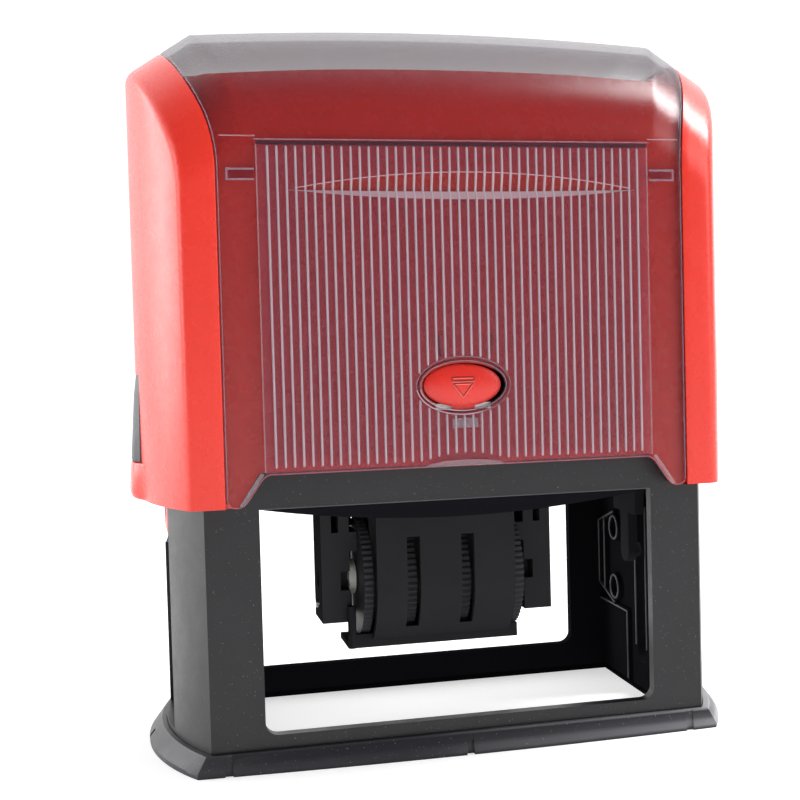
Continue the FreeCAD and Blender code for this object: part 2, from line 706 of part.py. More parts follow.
def arc_loop(half_x, half_y, mid_x, mid_y):
    """A plan of four bowed edges."""
    return [
        (-half_x, -half_y), (ZERO, -mid_y, "bow"), (half_x, -half_y), (mid_x, ZERO, "bow"),
        (half_x, half_y), (ZERO, mid_y, "bow"), (-half_x, half_y), (-mid_x, ZERO, "bow"),
    ]


def foot_ring():
    """A flared ring under the base, with a ledge that carries it and notches for aligning a print."""
    loop = arc_loop(s.foot_corner_x, s.foot_corner_y, s.foot_side, s.foot_front)
    body = pad("foot_lip_body", "z", [loop], ZERO, s.foot_lip)
    flare = free_loft("foot_flare", [
        level_sketch("foot_low_edge", loop, s.foot_lip),
        level_sketch("foot_high_edge", bowed_outline(s.base_half + s.foot_lip, s.base_mid + s.foot_lip,
                                                     s.base_half_deep + s.foot_lip), s.foot_top),
    ])
    seat = pad("foot_seat", "z", [bowed_outline(s.base_half + s.running_gap, s.base_mid + s.running_gap,
                                                s.base_half_deep + s.running_gap)],
               s.foot_ledge, s.foot_top + s.overrun)
    mouth = block("foot_mouth", (-s.inner_half, s.inner_half), (-s.inner_half_deep, s.inner_half_deep),
                  (-s.overrun, s.foot_top + s.overrun))
    return cut("foot_ring", fuse("foot_solid", body, flare), seat, mouth, *foot_marks())


def foot_marks():
    """Notches at the plate's ends and middle."""
    half = s.mark_width / 2
    high = (-s.overrun, s.foot_top + s.overrun)
    marks = []
    for x in (-s.plate_long / 2, ZERO, s.plate_long / 2):
        deep = s.foot_front - s.mark_deep if x is ZERO else s.foot_corner_y - s.mark_deep / 4
        for sign in (-1, 1):
            ends = sorted((sign * deep, sign * (s.foot_front + s.overrun)), key=number)
            marks.append(block("foot_mark", (x - half, x + half), ends, high))
    for sign in (-1, 1):
        ends = sorted((sign * (s.foot_side - s.mark_deep), sign * (s.foot_side + s.overrun)), key=number)
        marks.append(block("foot_mark", ends, (-half, half), high))
    return marks


def ink_cartridge():
    """The plate that slides into the base above the runners, with a rim and a finger tab."""
    half = s.inner_half - s.seat_gap
    deep = s.inner_half_deep - s.seat_gap
    plate = block("cartridge_plate", (-half, half), (-deep, deep), (s.tray_low, s.tray_high))
    parts = [plate]
    rim = s.inner_half - s.runner_stand - s.seat_gap
    for low in (-s.pad_half_deep - s.running_gap - s.tray_rim, s.pad_half_deep + s.running_gap):
        parts.append(block("cartridge_rim", (-rim, rim), (low, low + s.tray_rim),
                           (s.tray_low - s.tray_rim_drop, s.tray_low)))
    front = (-s.base_half_deep - s.tab_reach, -deep)
    tab_levels = (s.tray_low, s.tray_low + s.tab_thick)
    parts.append(block("cartridge_tab", (-s.tab_half, s.tab_half), front, tab_levels))
    return fuse("ink_cartridge", *parts)


def ink_pad():
    half = s.plate_long / 2 - s.pad_inset
    return block("ink_pad", (-half, half), (-s.pad_half_deep, s.pad_half_deep), (s.die_high, s.tray_low))


# The housing: shell, clear cover, lock button and side grips

def level_sketch(name, outline, level):
    """A free sketch parallel to the table."""
    sketch = doc.addObject("Sketcher::SketchObject", name)
    sketch.Placement.Base = Vector(0, 0, number(level))
    bind(sketch, "Placement.Base.z", level)
    draw(sketch, outline)
    return sketch


def free_loft(name, sketches, ruled=True):
    loft = doc.addObject("Part::Loft", name)
    loft.Sections = sketches
    loft.Solid = True
    loft.Ruled = ruled
    return loft


UPRIGHT = FreeCAD.Rotation(Vector(1, 1, 1), 120)


def profile_sketch(name, x, inset, low, drop):
    """The housing's side profile: straight front and back, round shoulders and a round crown."""
    deep = s.cap_half_deep - inset
    shoulder = s.shoulder_radius - inset
    crown = s.crown_radius - inset
    shoulder_level = s.shoulder_low - drop
    centre = s.crown_centre - drop
    touch_y = crown * s.tangent_y_share
    touch_z = centre + crown * s.tangent_z_share
    bow_y = s.shoulder_y + shoulder * s.bow_share
    bow_z = shoulder_level + shoulder * s.bow_rise_share
    outline = [
        (-deep, low), (deep, low), (deep, shoulder_level), (bow_y, bow_z, "bow"),
        (touch_y, touch_z), (ZERO, centre + crown, "bow"), (-touch_y, touch_z), (-bow_y, bow_z, "bow"),
        (-deep, shoulder_level),
    ]
    sketch = doc.addObject("Sketcher::SketchObject", name)
    sketch.Placement = FreeCAD.Placement(Vector(number(x), 0, 0), UPRIGHT)
    bind(sketch, "Placement.Base.x", x)
    draw(sketch, outline)
    return sketch


def housing_form(name, inset, side_inset, low, top):
    """The housing's outer form, drawn in by an inset and cut off at two levels."""
    deep = s.cap_half_deep - inset
    corner = side_reach(s.cap_half, s.cap_side_bulge, s.cap_half_deep, deep) - side_inset
    plan = pad(name + "_plan", "z", [bowed_outline(corner, s.cap_mid - side_inset, deep)], low, top)
    far = s.cap_mid + s.overrun
    far_drop = s.crown_rise + s.slope_drop * ((far - s.crease_x) / (s.cap_mid - s.crease_x))
    stations = [
        (-far, far_drop), (-s.crease_x, s.crown_rise), (ZERO, ZERO), (s.crease_x, s.crown_rise),
        (far, far_drop),
    ]
    sections = [profile_sketch(name + "_profile", x, inset, low, drop) for x, drop in stations]
    left = free_loft(name + "_left", sections[:2])
    middle = free_loft(name + "_middle", sections[1:4], False)
    right = free_loft(name + "_right", sections[3:])
    return common(name, plan, fuse(name + "_loft", left, middle, right))


def seam_zone(name, inset):
    """The space between the two cheeks, which the clear cover fills."""
    reach = s.cap_half_deep + s.overrun
    corner = side_reach(s.cap_half, s.cap_side_bulge, s.cap_half_deep, reach) - s.cheek_width - inset
    outline = bowed_outline(corner, s.cap_mid - s.cheek_width - inset, reach)
    return pad(name, "z", [outline], s.cap_low - s.overrun, s.cap_top + s.overrun * 2)


def skirt_cut(name, lift, near, far):
    """What the raised lower edge at the housing's front or back leaves out."""
    top = s.skirt_high + lift
    outline = [
        (-s.skirt_half_low, s.cap_low - s.overrun * 2), (s.skirt_half_low, s.cap_low - s.overrun * 2),
        (s.skirt_half_low, s.cap_low), (s.skirt_half_top, top), (-s.skirt_half_top, top),
        (-s.skirt_half_low, s.cap_low),
    ]
    return pad(name, "y", [outline], near, far)


def oval(name, half_x, half_z, y_low, y_high):
    """An elliptic rod along Y at the lock button's place."""
    ellipse = doc.addObject("Part::Ellipse", name + "_edge")
    ellipse.MajorRadius = number(half_x)
    ellipse.MinorRadius = number(half_z)
    ellipse.Placement = FreeCAD.Placement(Vector(0, number(y_low), number(s.button_high)), TURNS["y"])
    bind(ellipse, "MajorRadius", half_x)
    bind(ellipse, "MinorRadius", half_z)
    bind(ellipse, "Placement.Base.y", y_low)
    bind(ellipse, "Placement.Base.z", s.button_high)
    item = doc.addObject("Part::Extrusion", name)
    item.Base = ellipse
    item.DirMode = "Custom"
    item.Dir = Vector(0, 1, 0)
    item.LengthFwd = number(y_high - y_low)
    bind(item, "LengthFwd", y_high - y_low)
    item.Solid = True
    return item


def button_hole(name, gap):
    """The hole through the housing's front for the lock button."""
    return oval(name, s.button_half_x + gap, s.button_half_z + gap, -s.cap_half_deep - s.overrun,
                -s.cap_half_deep + s.cavity_inset + s.overrun)


def bump_outline():
    """The side bump seen from the front."""
    return [
        (s.cap_mid - s.cap_side_wall, s.cap_low), (s.bump_reach_low, s.cap_low),
        (s.bump_reach_top, s.bump_shoulder), (s.cap_mid - s.cap_side_wall, s.bump_high),
    ]


def grip_outline(gap, spare):
    """The side grip's section, flush with the bump, or its seat with a gap inside and spare outside."""
    share = (s.grip_low - s.cap_low) / (s.bump_shoulder - s.cap_low)
    outer_low = s.bump_reach_low - (s.bump_reach_low - s.bump_reach_top) * share
    share = (s.grip_high - s.bump_shoulder) / (s.bump_high - s.bump_shoulder)
    outer_top = s.bump_reach_top - (s.bump_reach_top - s.cap_mid + s.cap_side_wall) * share
    inner = s.bump_reach_top - s.grip_thick - gap
    return [
        (inner, s.grip_low - gap), (outer_low + spare, s.grip_low - gap),
        (s.bump_reach_top + spare, s.bump_shoulder),
        (outer_top + spare, s.grip_high + gap), (inner, s.grip_high + gap),
    ]


def side_grip_right():
    return pad("side_grip_right", "y", [grip_outline(ZERO, ZERO)], -s.grip_half, s.grip_half)


def right_leg():
    """The leg that carries the trunnion, running in the base's groove."""
    inner = s.groove_floor + s.slot_gap
    outer = inner + s.leg_thick
    half = (-s.leg_half, s.leg_half)
    outer_face = s.cap_mid - s.cap_side_wall / 2
    root_block = block("leg_root", (inner, outer_face), half, (s.cap_low, s.bump_shoulder))
    plate = block("leg_plate", (inner, outer), half, (s.axle_high - s.leg_reach, s.cap_low + s.overrun))
    bore = rod("leg_bore", "x", (inner - s.overrun, ZERO, s.axle_high), s.trunnion_radius + s.running_gap,
               s.leg_thick + s.overrun * 2)
    return fuse("right_leg", root_block, cut("leg_with_bore", plate, bore))


def spring_collar(x):
    """A collar round the top of a return spring."""
    inner = s.spring_radius + s.wire_radius + s.slide_gap
    low = s.roof_low - s.spring_collar_drop
    outer = inner + s.spring_collar_wall
    ring = rod("collar_outer", "z", (x, ZERO, low), outer, s.spring_collar_drop + s.seat_gap)
    hollow = rod("collar_inner", "z", (x, ZERO, low - s.overrun), inner, s.spring_collar_drop + s.overrun * 2)
    return cut("spring_collar", ring, hollow)


def cap_shell():
    """The coloured shell: two cheeks, a panel and flat roof behind the cover, bumps and legs."""
    below = s.cap_low - s.overrun
    whole = housing_form("outer_form", ZERO, ZERO, s.cap_low, s.cap_top + s.overrun)
    core = housing_form("core_form", s.panel_inset, s.panel_inset, below, s.roof_high)
    cavity = housing_form("cavity_form", s.cavity_inset, s.cap_side_wall, below, s.roof_low)
    recess = cut("cover_recess", seam_zone("cover_zone", ZERO), core)
    reach = s.cap_half_deep + s.overrun
    skirts = [
        skirt_cut("front_skirt", s.panel_lift, -reach, ZERO),
        skirt_cut("back_skirt", s.panel_lift_back, ZERO, reach),
    ]
    shell = cut("plain_shell", whole, recess, cavity, *skirts, button_hole("button_bore", s.seat_gap))
    bump = pad("right_bump", "y", [bump_outline()], -s.bump_half, s.bump_half)
    right = fuse("right_side", bump, right_leg())
    collars = [spring_collar(x) for x in (-s.spring_x, s.spring_x)]
    joined = fuse("joined_shell", shell, right, mirrored("left_side", right), *collars)
    half = s.grip_half + s.seat_gap
    seat = pad("right_seat", "y", [grip_outline(s.seat_gap, s.overrun)], -half, half)
    return cut("cap_shell", joined, seat, mirrored("left_seat", seat))


def clear_cover():
    """The see-through cover over front, crown and back, with a ribbed panel in front."""
    outer = housing_form("cover_outer", ZERO, ZERO, s.cap_low, s.cap_top + s.overrun)
    inner = housing_form("cover_inner", s.cover_thick, s.cover_thick, s.cap_low - s.overrun, s.cap_top)
    band = common("cover_band", outer, seam_zone("cover_plan", s.cover_gap))
    reach = s.cap_half_deep + s.overrun
    sheet_part = cut("plain_cover", band, inner, skirt_cut("cover_skirt", ZERO, -reach, reach))
    ribbed = fuse("ribbed_cover", sheet_part, rib_panel())
    return cut("clear_cover", ribbed, button_hole("ring_bore", s.button_rim))


def rib_panel():
    """Upright ribs on a thin sheet that lies in the cover's front."""
    face = -s.cap_half_deep
    low = s.skirt_high
    body = doc.addObject("PartDesign::Body", "rib_panel")
    plate = rectangle(-s.rib_panel_half, s.rib_panel_half, low, s.rib_panel_high)
    add_pad(body, "y", [plate], face, face + s.panel_rib_stand)
    first = rectangle(-s.rib_panel_half, -s.rib_panel_half + s.panel_rib_width, low, s.rib_panel_high)
    rib = add_pad(body, "y", [first], face - s.panel_rib_stand, face + s.panel_rib_stand)
    pattern = body.newObject("PartDesign::LinearPattern", "rib_pattern")
    pattern.Originals = [rib]
    pattern.Direction = (plane(body, "X_Axis"), [""])
    pattern.Length = number(s.rib_panel_half * 2 - s.panel_rib_width)
    bind(pattern, "Length", s.rib_panel_half * 2 - s.panel_rib_width)
    pattern.Occurrences = int(s.rib_count.value)
    bind(pattern, "Occurrences", s.rib_count)
    body.Tip = pattern
    doc.recompute()
    return body


def lock_button():
    return oval("lock_button", s.button_half_x, s.button_half_z, -s.button_front, -s.button_back)


# The carrier that flips: plate, text plate, die and the date works

def carrier():
    """A windowed plate with end cheeks, trunnions and cam pins."""
    half_deep = s.carrier_half_deep
    plate = block("carrier_plate", (-s.carrier_half, s.carrier_half), (-half_deep, half_deep),
                  (s.carrier_low, s.carrier_high))
    window = block("carrier_window", (-s.date_window_half, s.date_window_half),
                   (-s.carrier_window_deep, s.carrier_window_deep),
                   (s.carrier_low - s.overrun, s.carrier_high + s.overrun))
    inner = s.carrier_half - s.cheek_thick
    ends = (inner, s.carrier_half)
    pin_high = s.axle_high - s.cam_arm
    trunnion_end = s.groove_floor + s.slot_gap + s.leg_thick
    right = fuse(
        "carrier_end",
        block("end_cheek", ends, (-s.cheek_half, s.cheek_half), (s.axle_high - s.cheek_drop, s.carrier_low)),
        block("cam_arm_bar", ends, (-s.cam_arm_half, s.cam_arm_half), (pin_high, s.axle_high)),
        rod("cam_arm_end", "x", (inner, ZERO, pin_high), s.cam_arm_half, s.cheek_thick),
        rod("cam_pin", "x", (inner, ZERO, pin_high), s.cam_radius, s.inner_half - s.slide_gap - inner),
        rod("trunnion", "x", (inner, ZERO, s.axle_high), s.trunnion_radius, trunnion_end - inner),
    )
    return fuse("carrier", cut("windowed_plate", plate, window), right, mirrored("left_carrier_end", right))


def plate_with_window(name, low, high, *slots):
    """A plate of the text plate's size with slots through it."""
    half_long = s.plate_long / 2
    half_deep = s.plate_deep / 2
    plate = block(name + "_blank", (-half_long, half_long), (-half_deep, half_deep), (low, high))
    through = (low - s.overrun, high + s.overrun)
    cutters = [block(name + "_slot", (-x, x), (-y, y), through) for x, y in slots]
    return cut(name, plate, *cutters)


def text_plate():
    return plate_with_window("text_plate", s.carrier_high, s.plate_high,
                             (s.date_window_half, s.date_window_deep),
                             (s.bridge_window_half, s.bridge_half + s.slot_gap))


def rubber_die():
    return plate_with_window("rubber_die", s.plate_high, s.die_high, (s.date_window_half, s.date_window_deep))


def band_outline(inset):
    """A band's loop seen from its side, or its inner edge when drawn in."""
    half = s.band_head_half - inset
    radius = s.pulley_radius + s.slide_gap + s.band_thick - inset
    side_y = radius * cosine(s.band_lean)
    side_z = s.shaft_high + radius * sine(s.band_lean)
    head = s.die_high - s.band_head_drop
    return [
        (-half, s.die_high - inset), (half, s.die_high - inset), (half, head), (side_y, side_z),
        (ZERO, s.shaft_high - radius, "bow"), (-side_y, side_z), (-half, head),
    ]


def date_band(name, span):
    return pad(name, "x", [band_outline(ZERO), band_outline(s.band_thick)], span[0], span[1])


def knurled_disc():
    """A disc round the X axis with a notched rim."""
    half = s.wheel_width / 2
    body = doc.addObject("PartDesign::Body", "knurled_disc")
    sketch = sketch_on(body, ROLES["x"], -half)
    ring_sketch(sketch, ZERO, ZERO, s.wheel_radius)
    extrude(body, sketch, "PartDesign::Pad", s.wheel_width)
    out = s.wheel_radius + s.knurl_deep
    notch = [(-s.knurl_half * 2, out), (s.knurl_half * 2, out), (ZERO, s.wheel_radius - s.knurl_deep)]
    first = pocket(body, "x", notch, -half - s.overrun, half + s.overrun)
    pattern = body.newObject("PartDesign::PolarPattern", "knurl_pattern")
    pattern.Originals = [first]
    pattern.Axis = (plane(body, "X_Axis"), [""])
    pattern.Occurrences = int(s.knurl_count.value)
    bind(pattern, "Occurrences", s.knurl_count)
    body.Tip = pattern
    doc.recompute()
    return body


def placed(name, source, x, z):
    """The shape of another object, moved along X and Z."""
    item = doc.addObject("Part::Compound", name)
    item.Links = [source]
    item.Placement.Base = Vector(number(x), 0, number(z))
    bind(item, "Placement.Base.x", x)
    bind(item, "Placement.Base.z", z)
    return item


def spool(name, radius, ends):
    """A rod round the shaft between two places along X."""
    low, high = sorted(ends, key=number)
    return rod(name, "x", (low, ZERO, s.shaft_high), radius, high - low)


def wheel(name, disc, x, pulley_end, hub_end):
    """A setting wheel with the pulley of its band and, if it is an outer one, a hub."""
    parts = [
        placed(name + "_disc", disc, x, s.shaft_high),
        spool(name + "_pulley", s.pulley_radius, (x, pulley_end)),
    ]
    if hub_end is not None:
        parts.append(spool(name + "_hub", s.hub_radius, (x, hub_end)))
    bore = spool(name + "_bore", s.shaft_radius + s.running_gap, (-s.shaft_half, s.shaft_half))
    return cut(name, fuse(name + "_solid", *parts), bore)


def date_works():
    """Bands and their wheels."""
    half = s.wheel_width / 2 + s.band_gap
    spans = [
        (s.wheel_1_x + half, s.wheel_2_x - half),
        (s.wheel_2_x + half, s.wheel_3_x - half),
        (s.wheel_3_x + half, s.band_split_x - s.band_gap / 2),
        (s.band_split_x + s.band_gap / 2, s.wheel_4_x - half),
    ]
    disc = knurled_disc()
    hub = s.block_inner - s.seat_gap
    return [date_band("band_" + str(place), span) for place, span in enumerate(spans, start=1)] + [
        wheel("wheel_1", disc, s.wheel_1_x, spans[0][1], -hub),
        wheel("wheel_2", disc, s.wheel_2_x, spans[1][1], None),
        wheel("wheel_3", disc, s.wheel_3_x, spans[2][1], None),
        wheel("wheel_4", disc, s.wheel_4_x, spans[3][0], hub),
    ]


def wheel_shaft():
    return rod("wheel_shaft", "x", (-s.shaft_half, ZERO, s.shaft_high), s.shaft_radius, s.shaft_half * 2)


def bridge_bar():
    """The bar under the bands' heads."""
    deep = (-s.bridge_half, s.bridge_half)
    bar = block("bridge_ends", (-s.bridge_reach, s.bridge_reach), deep,
                (s.carrier_high, s.plate_high - s.cover_gap))
    inside = s.date_window_half - s.slide_gap
    ridge = block("bridge_ridge", (-inside, inside), deep,
                  (s.carrier_high, s.die_high - s.band_thick - s.seat_gap))
    return fuse("bridge_bar", bar, ridge)


def end_block_right():
    """The block that holds the wheel shaft, hung from the carrier by two posts."""
    deep = (-s.block_half, s.block_half)
    body = block("block_body", (s.block_inner, s.block_outer), deep, (s.block_low, s.block_high))
    upper = block("block_upper", (s.block_nose, s.block_outer), deep, (s.block_nose_low, s.block_high))
    posts = [
        block("block_post", (x, x + s.post_width), deep, (s.block_high, s.carrier_low))
        for x in (s.block_inner, s.block_outer - s.post_width)
    ]
    notch = block("block_notch", (s.block_inner - s.overrun, s.block_inner + s.hub_notch),
                  (-s.block_half - s.overrun, -s.shaft_radius),
                  (s.shaft_high - s.hub_notch, s.shaft_high + s.hub_notch))
    shaft = spool("block_bore", s.shaft_radius, (s.block_inner - s.overrun, s.block_outer + s.overrun))
    dowel = rod("dowel_bore", "x", (s.block_inner - s.overrun, ZERO, s.shaft_high - s.dowel_drop),
                s.dowel_radius, s.block_outer - s.block_inner + s.overrun * 2)
    return cut("end_block_right", fuse("block_solid", body, upper, *posts), notch, shaft, dowel)


def dowel_right():
    return rod("dowel_right", "x", (s.block_inner, ZERO, s.shaft_high - s.dowel_drop), s.dowel_radius,
               s.block_outer + s.dowel_stand - s.block_inner)


def on_guard(radius, turn):
    """A point of the guard's curve, turned from the front towards the bottom."""
    return (-radius * cosine(turn), s.shaft_high - radius * sine(turn))


def guard_section():
    """The guard's sheet: straight down in front of the wheels, then round them."""
    inner = s.wheel_radius + s.guard_gap
    outer = inner + s.guard_thick
    half_turn = s.guard_turn / 2
    return [
        (-outer, s.carrier_low), (-outer, s.shaft_high), on_guard(outer, half_turn) + ("bow",),
        on_guard(outer, s.guard_turn), on_guard(inner, s.guard_turn), on_guard(inner, half_turn) + ("bow",),
        (-inner, s.shaft_high), (-inner, s.carrier_low),
    ]


def wheel_guard():
    """A sheet in front of the wheels with two slots, a lower plate, a lip and a peg."""
    curve = pad("guard_curve", "x", [guard_section()], s.guard_left, s.guard_right)
    outer = s.wheel_radius + s.guard_gap + s.guard_thick
    front = (-outer - s.overrun, -s.lip_front - s.slide_gap)
    half = s.guard_slot / 2
    levels_of_slot = (s.guard_slot_low, s.guard_slot_high)
    slots = [
        block("guard_slot", (x - half, x + half), front, levels_of_slot) for x in (s.wheel_2_x, s.wheel_3_x)
    ]
    plate = block("guard_plate", (s.lip_left, s.lip_right), (-s.lip_front, s.guard_back),
                  (s.guard_low, s.guard_low + s.guard_thick))
    lip = block("guard_lip", (s.lip_left, s.lip_right), (-s.lip_front, s.lip_thick - s.lip_front),
                (s.guard_low, s.lip_high))
    corner = (s.lip_left + s.peg_radius, -s.block_half - s.peg_radius, s.guard_low)
    peg = rod("guard_peg", "z", corner, s.peg_radius, s.block_low + s.peg_radius * 4 - s.guard_low)
    return fuse("wheel_guard", cut("slotted_guard", curve, *slots), plate, lip, peg)


# Return springs

def arc_of(start, corner, end):
    """The arc that leaves start and reaches end along the lines to their common corner."""
    middle = (start + end) / 2
    half = (corner - start).getAngle(end - start)
    bow = middle + (corner - middle) * (math.tan(half / 2) / math.tan(half))
    return Part.Arc(start, bow, end).toShape()


def two_arcs(start, start_way, end, end_way):
    """Two arcs that run from start to end and keep both directions."""
    across = end - start
    ways = start_way + end_way
    spread = 2 * (1 - start_way.dot(end_way))
    along = across.dot(ways)
    reach = (math.sqrt(along * along + spread * across.dot(across)) - along) / spread
    joint = (start + end + (start_way - end_way) * reach) / 2
    return [arc_of(start, start + start_way * reach, joint), arc_of(joint, end - end_way * reach, end)]


def coil_point(x, low, pitch, turn):
    """A point of the coil and its direction there."""
    angle = 2 * math.pi * turn
    radius = s.spring_radius.value
    point = Vector(x + radius * math.cos(angle), radius * math.sin(angle), low + pitch * turn)
    way = Vector(-math.sin(angle) * 2 * math.pi * radius, math.cos(angle) * 2 * math.pi * radius, pitch)
    return point, way.normalize()


def return_spring(name, x):
    """A round wire swept along a coil between the deck and the roof."""
    inset = number(s.spring_seat + s.wire_radius)
    low = s.base_top.value + inset
    turns = int(s.spring_turns.value)
    pitch = (s.roof_low.value - inset - low) / turns
    edges = []
    for place in range(2 * turns):
        start, start_way = coil_point(x, low, pitch, place / 2)
        end, end_way = coil_point(x, low, pitch, (place + 1) / 2)
        edges.extend(two_arcs(start, start_way, end, end_way))
    first, way = coil_point(x, low, pitch, 0)
    round_wire = Part.Wire(Part.Circle(first, way, s.wire_radius.value).toShape())
    pipe = Part.BRepOffsetAPI.MakePipeShell(Part.Wire(edges))
    pipe.add(round_wire)
    pipe.build()
    pipe.makeSolid()
    item = doc.addObject("Part::Feature", name)
    item.Shape = pipe.shape()
    print(name, "least gap between its turns", round(pitch - 2 * s.wire_radius.value, 2))
    return item


# All sub-parts, each written to its own file

def build():
    """Builds every sub-part and returns the objects that carry the file names."""
    grip = side_grip_right()
    end_block = end_block_right()
    dowel = dowel_right()
    return [
        base_frame(), foot_ring(), ink_cartridge(), ink_pad(),
        return_spring("return_spring_left", -s.spring_x.value),
        return_spring("return_spring_right", s.spring_x.value),
        cap_shell(), clear_cover(), lock_button(), grip, mirrored("side_grip_left", grip),
        carrier(), text_plate(), rubber_die(), wheel_shaft(), bridge_bar(),
        end_block, mirrored("end_block_left", end_block), dowel, mirrored("dowel_left", dowel), wheel_guard(),
    ] + date_works()


def check():
    """Stops at any object that failed to build."""
    doc.recompute()
    for item in doc.Objects:
        if "Invalid" in item.State or "Error" in item.State:
            raise ValueError(item.Name + " is " + " ".join(item.State))


def write(nodes):
    """Writes each node's solid to its file."""
    os.makedirs("parts", exist_ok=True)
    for item in nodes:
        shape = item.Shape
        if shape.isNull() or not shape.isValid() or len(shape.Solids) != 1:
            raise ValueError(item.Label + " has no single valid solid")
        shape.exportStep("parts/" + item.Label + ".step")
        print(item.Label, "written")


nodes = build()
check()
write(nodes)
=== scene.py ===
import math

import bmesh
import bpy
from mathutils import Matrix, Vector


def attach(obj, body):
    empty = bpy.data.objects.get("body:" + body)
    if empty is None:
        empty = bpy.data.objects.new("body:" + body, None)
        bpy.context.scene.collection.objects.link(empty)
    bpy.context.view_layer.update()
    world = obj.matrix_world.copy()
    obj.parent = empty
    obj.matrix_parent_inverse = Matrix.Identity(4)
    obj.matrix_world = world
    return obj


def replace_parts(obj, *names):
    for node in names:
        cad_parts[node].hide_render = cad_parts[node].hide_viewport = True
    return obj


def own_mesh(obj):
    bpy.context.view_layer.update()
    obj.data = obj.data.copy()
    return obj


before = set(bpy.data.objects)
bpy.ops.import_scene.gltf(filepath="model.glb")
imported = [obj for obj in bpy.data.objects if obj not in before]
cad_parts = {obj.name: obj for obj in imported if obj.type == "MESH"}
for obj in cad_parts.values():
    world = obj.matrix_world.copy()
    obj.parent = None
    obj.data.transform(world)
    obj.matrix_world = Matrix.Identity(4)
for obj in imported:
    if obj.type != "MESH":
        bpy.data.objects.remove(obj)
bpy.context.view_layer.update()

# Camera, floor and light

PICTURE, FOCAL, CENTRE = 800, 1413.923, (488.306, 387.277)
FLOOR_HALF = 4
CAMERA_PLACE = (-0.05159316, -0.23896028, 0.06751631)
CAMERA_RIGHT = (0.96703742, -0.25347886, -0.02422993)
CAMERA_UP = (0.03453292, 0.03627562, 0.99874499)
CAMERA_BACK = (-0.25228178, -0.96666051, 0.04383325)


def make_camera():
    """The photograph's camera, solved from the corners of the part."""
    data = bpy.data.cameras.new("camera")
    data.sensor_width = 36
    data.lens = FOCAL * data.sensor_width / PICTURE
    data.shift_x = (PICTURE / 2 - CENTRE[0]) / PICTURE
    data.shift_y = (CENTRE[1] - PICTURE / 2) / PICTURE
    data.clip_start = 0.005
    data.clip_end = 20
    camera = bpy.data.objects.new("camera", data)
    turn = Matrix((CAMERA_RIGHT, CAMERA_UP, CAMERA_BACK)).transposed().to_4x4()
    camera.matrix_world = Matrix.Translation(CAMERA_PLACE) @ turn
    bpy.context.collection.objects.link(camera)
    bpy.context.scene.camera = camera


def area_light(name, place, aim, size, power):
    data = bpy.data.lights.new(name, "AREA")
    data.shape = "RECTANGLE"
    data.size, data.size_y = size
    data.energy = power
    light = bpy.data.objects.new(name, data)
    light.location = place
    light.visible_camera = False
    way = Vector(aim) - Vector(place)
    light.rotation_mode = "QUATERNION"
    light.rotation_quaternion = way.to_track_quat("-Z", "Y")
    bpy.context.collection.objects.link(light)


def make_world():
    """A white studio that is darker behind the camera, so that dark plastic stays dark."""
    world = bpy.data.worlds.new("studio")
    bpy.context.scene.world = world
    world.use_nodes = True
    tree = world.node_tree
    stops = [(0.0, (0.11, 0.11, 0.115, 1)), (0.35, (1.0, 1.0, 1.0, 1)), (0.82, (1.0, 1.0, 1.0, 1)),
             (1.0, (0.66, 0.66, 0.67, 1))]
    tone = ramp(tree, axes(tree, "Generated")["Y"], stops)
    background = tree.nodes["Background"]
    tree.links.new(tone.outputs["Color"], background.inputs["Color"])
    background.inputs["Strength"].default_value = 1.7


def make_floor():
    mesh = bpy.data.meshes.new("floor")
    corners = [(x * FLOOR_HALF, y * FLOOR_HALF, 0) for x, y in ((-1, -1), (1, -1), (1, 1), (-1, 1))]
    mesh.from_pydata(corners, [], [(0, 1, 2, 3)])
    floor = bpy.data.objects.new("floor", mesh)
    bpy.context.collection.objects.link(floor)
    paper = plain("floor_paper", (0.62, 0.62, 0.62), 0.9, Specular_IOR_Level=0.1,
                  Emission_Color=(1, 1, 1, 1), Emission_Strength=0.6)
    mesh.materials.append(paper[0])


def make_stage():
    make_world()
    make_floor()
    area_light("key_left", (-0.85, -0.06, 0.16), (0, 0, 0.08), (0.20, 0.6), 2.4)
    area_light("back_left", (-0.95, 0.66, 0.22), (0, 0, 0.07), (0.45, 0.9), 5.0)
    area_light("fill_right", (0.80, -0.62, 0.42), (0, 0, 0.06), (0.6, 0.6), 3.7)
    area_light("top_right", (0.56, 0.0, 0.70), (0, 0, 0.09), (0.16, 0.5), 8.5)
    bpy.context.scene.view_settings.view_transform = "Standard"


# Materials

def plain(name, colour, roughness, alpha=1.0, **sockets):
    """A new material with its shader's fixed sockets set."""
    material = bpy.data.materials.new(name)
    material.use_nodes = True
    shader = material.node_tree.nodes["Principled BSDF"]
    shader.inputs["Base Color"].default_value = colour + (1,)
    shader.inputs["Roughness"].default_value = roughness
    shader.inputs["Alpha"].default_value = alpha
    for label, value in sockets.items():
        shader.inputs[label.replace("_", " ")].default_value = value
    return material, material.node_tree, shader


def node(tree, kind, **settings):
    """A new shader node with its properties and sockets set."""
    item = tree.nodes.new(kind)
    for label, value in settings.items():
        if label in item.bl_rna.properties:
            setattr(item, label, value)
        else:
            item.inputs[label.replace("_", " ")].default_value = value
    return item


def axes(tree, kind="Object"):
    """The coordinates' X, Y and Z as sockets."""
    place = node(tree, "ShaderNodeTexCoord")
    parts = node(tree, "ShaderNodeSeparateXYZ")
    tree.links.new(place.outputs[kind], parts.inputs[0])
    return parts.outputs


def mix_in(tree, base, colour, share):
    """The base colour with a share of another colour."""
    mix = node(tree, "ShaderNodeMix", data_type="RGBA")
    mix.inputs[7].default_value = colour
    tree.links.new(share, mix.inputs[0])
    tree.links.new(base, mix.inputs[6])
    return mix.outputs[2]


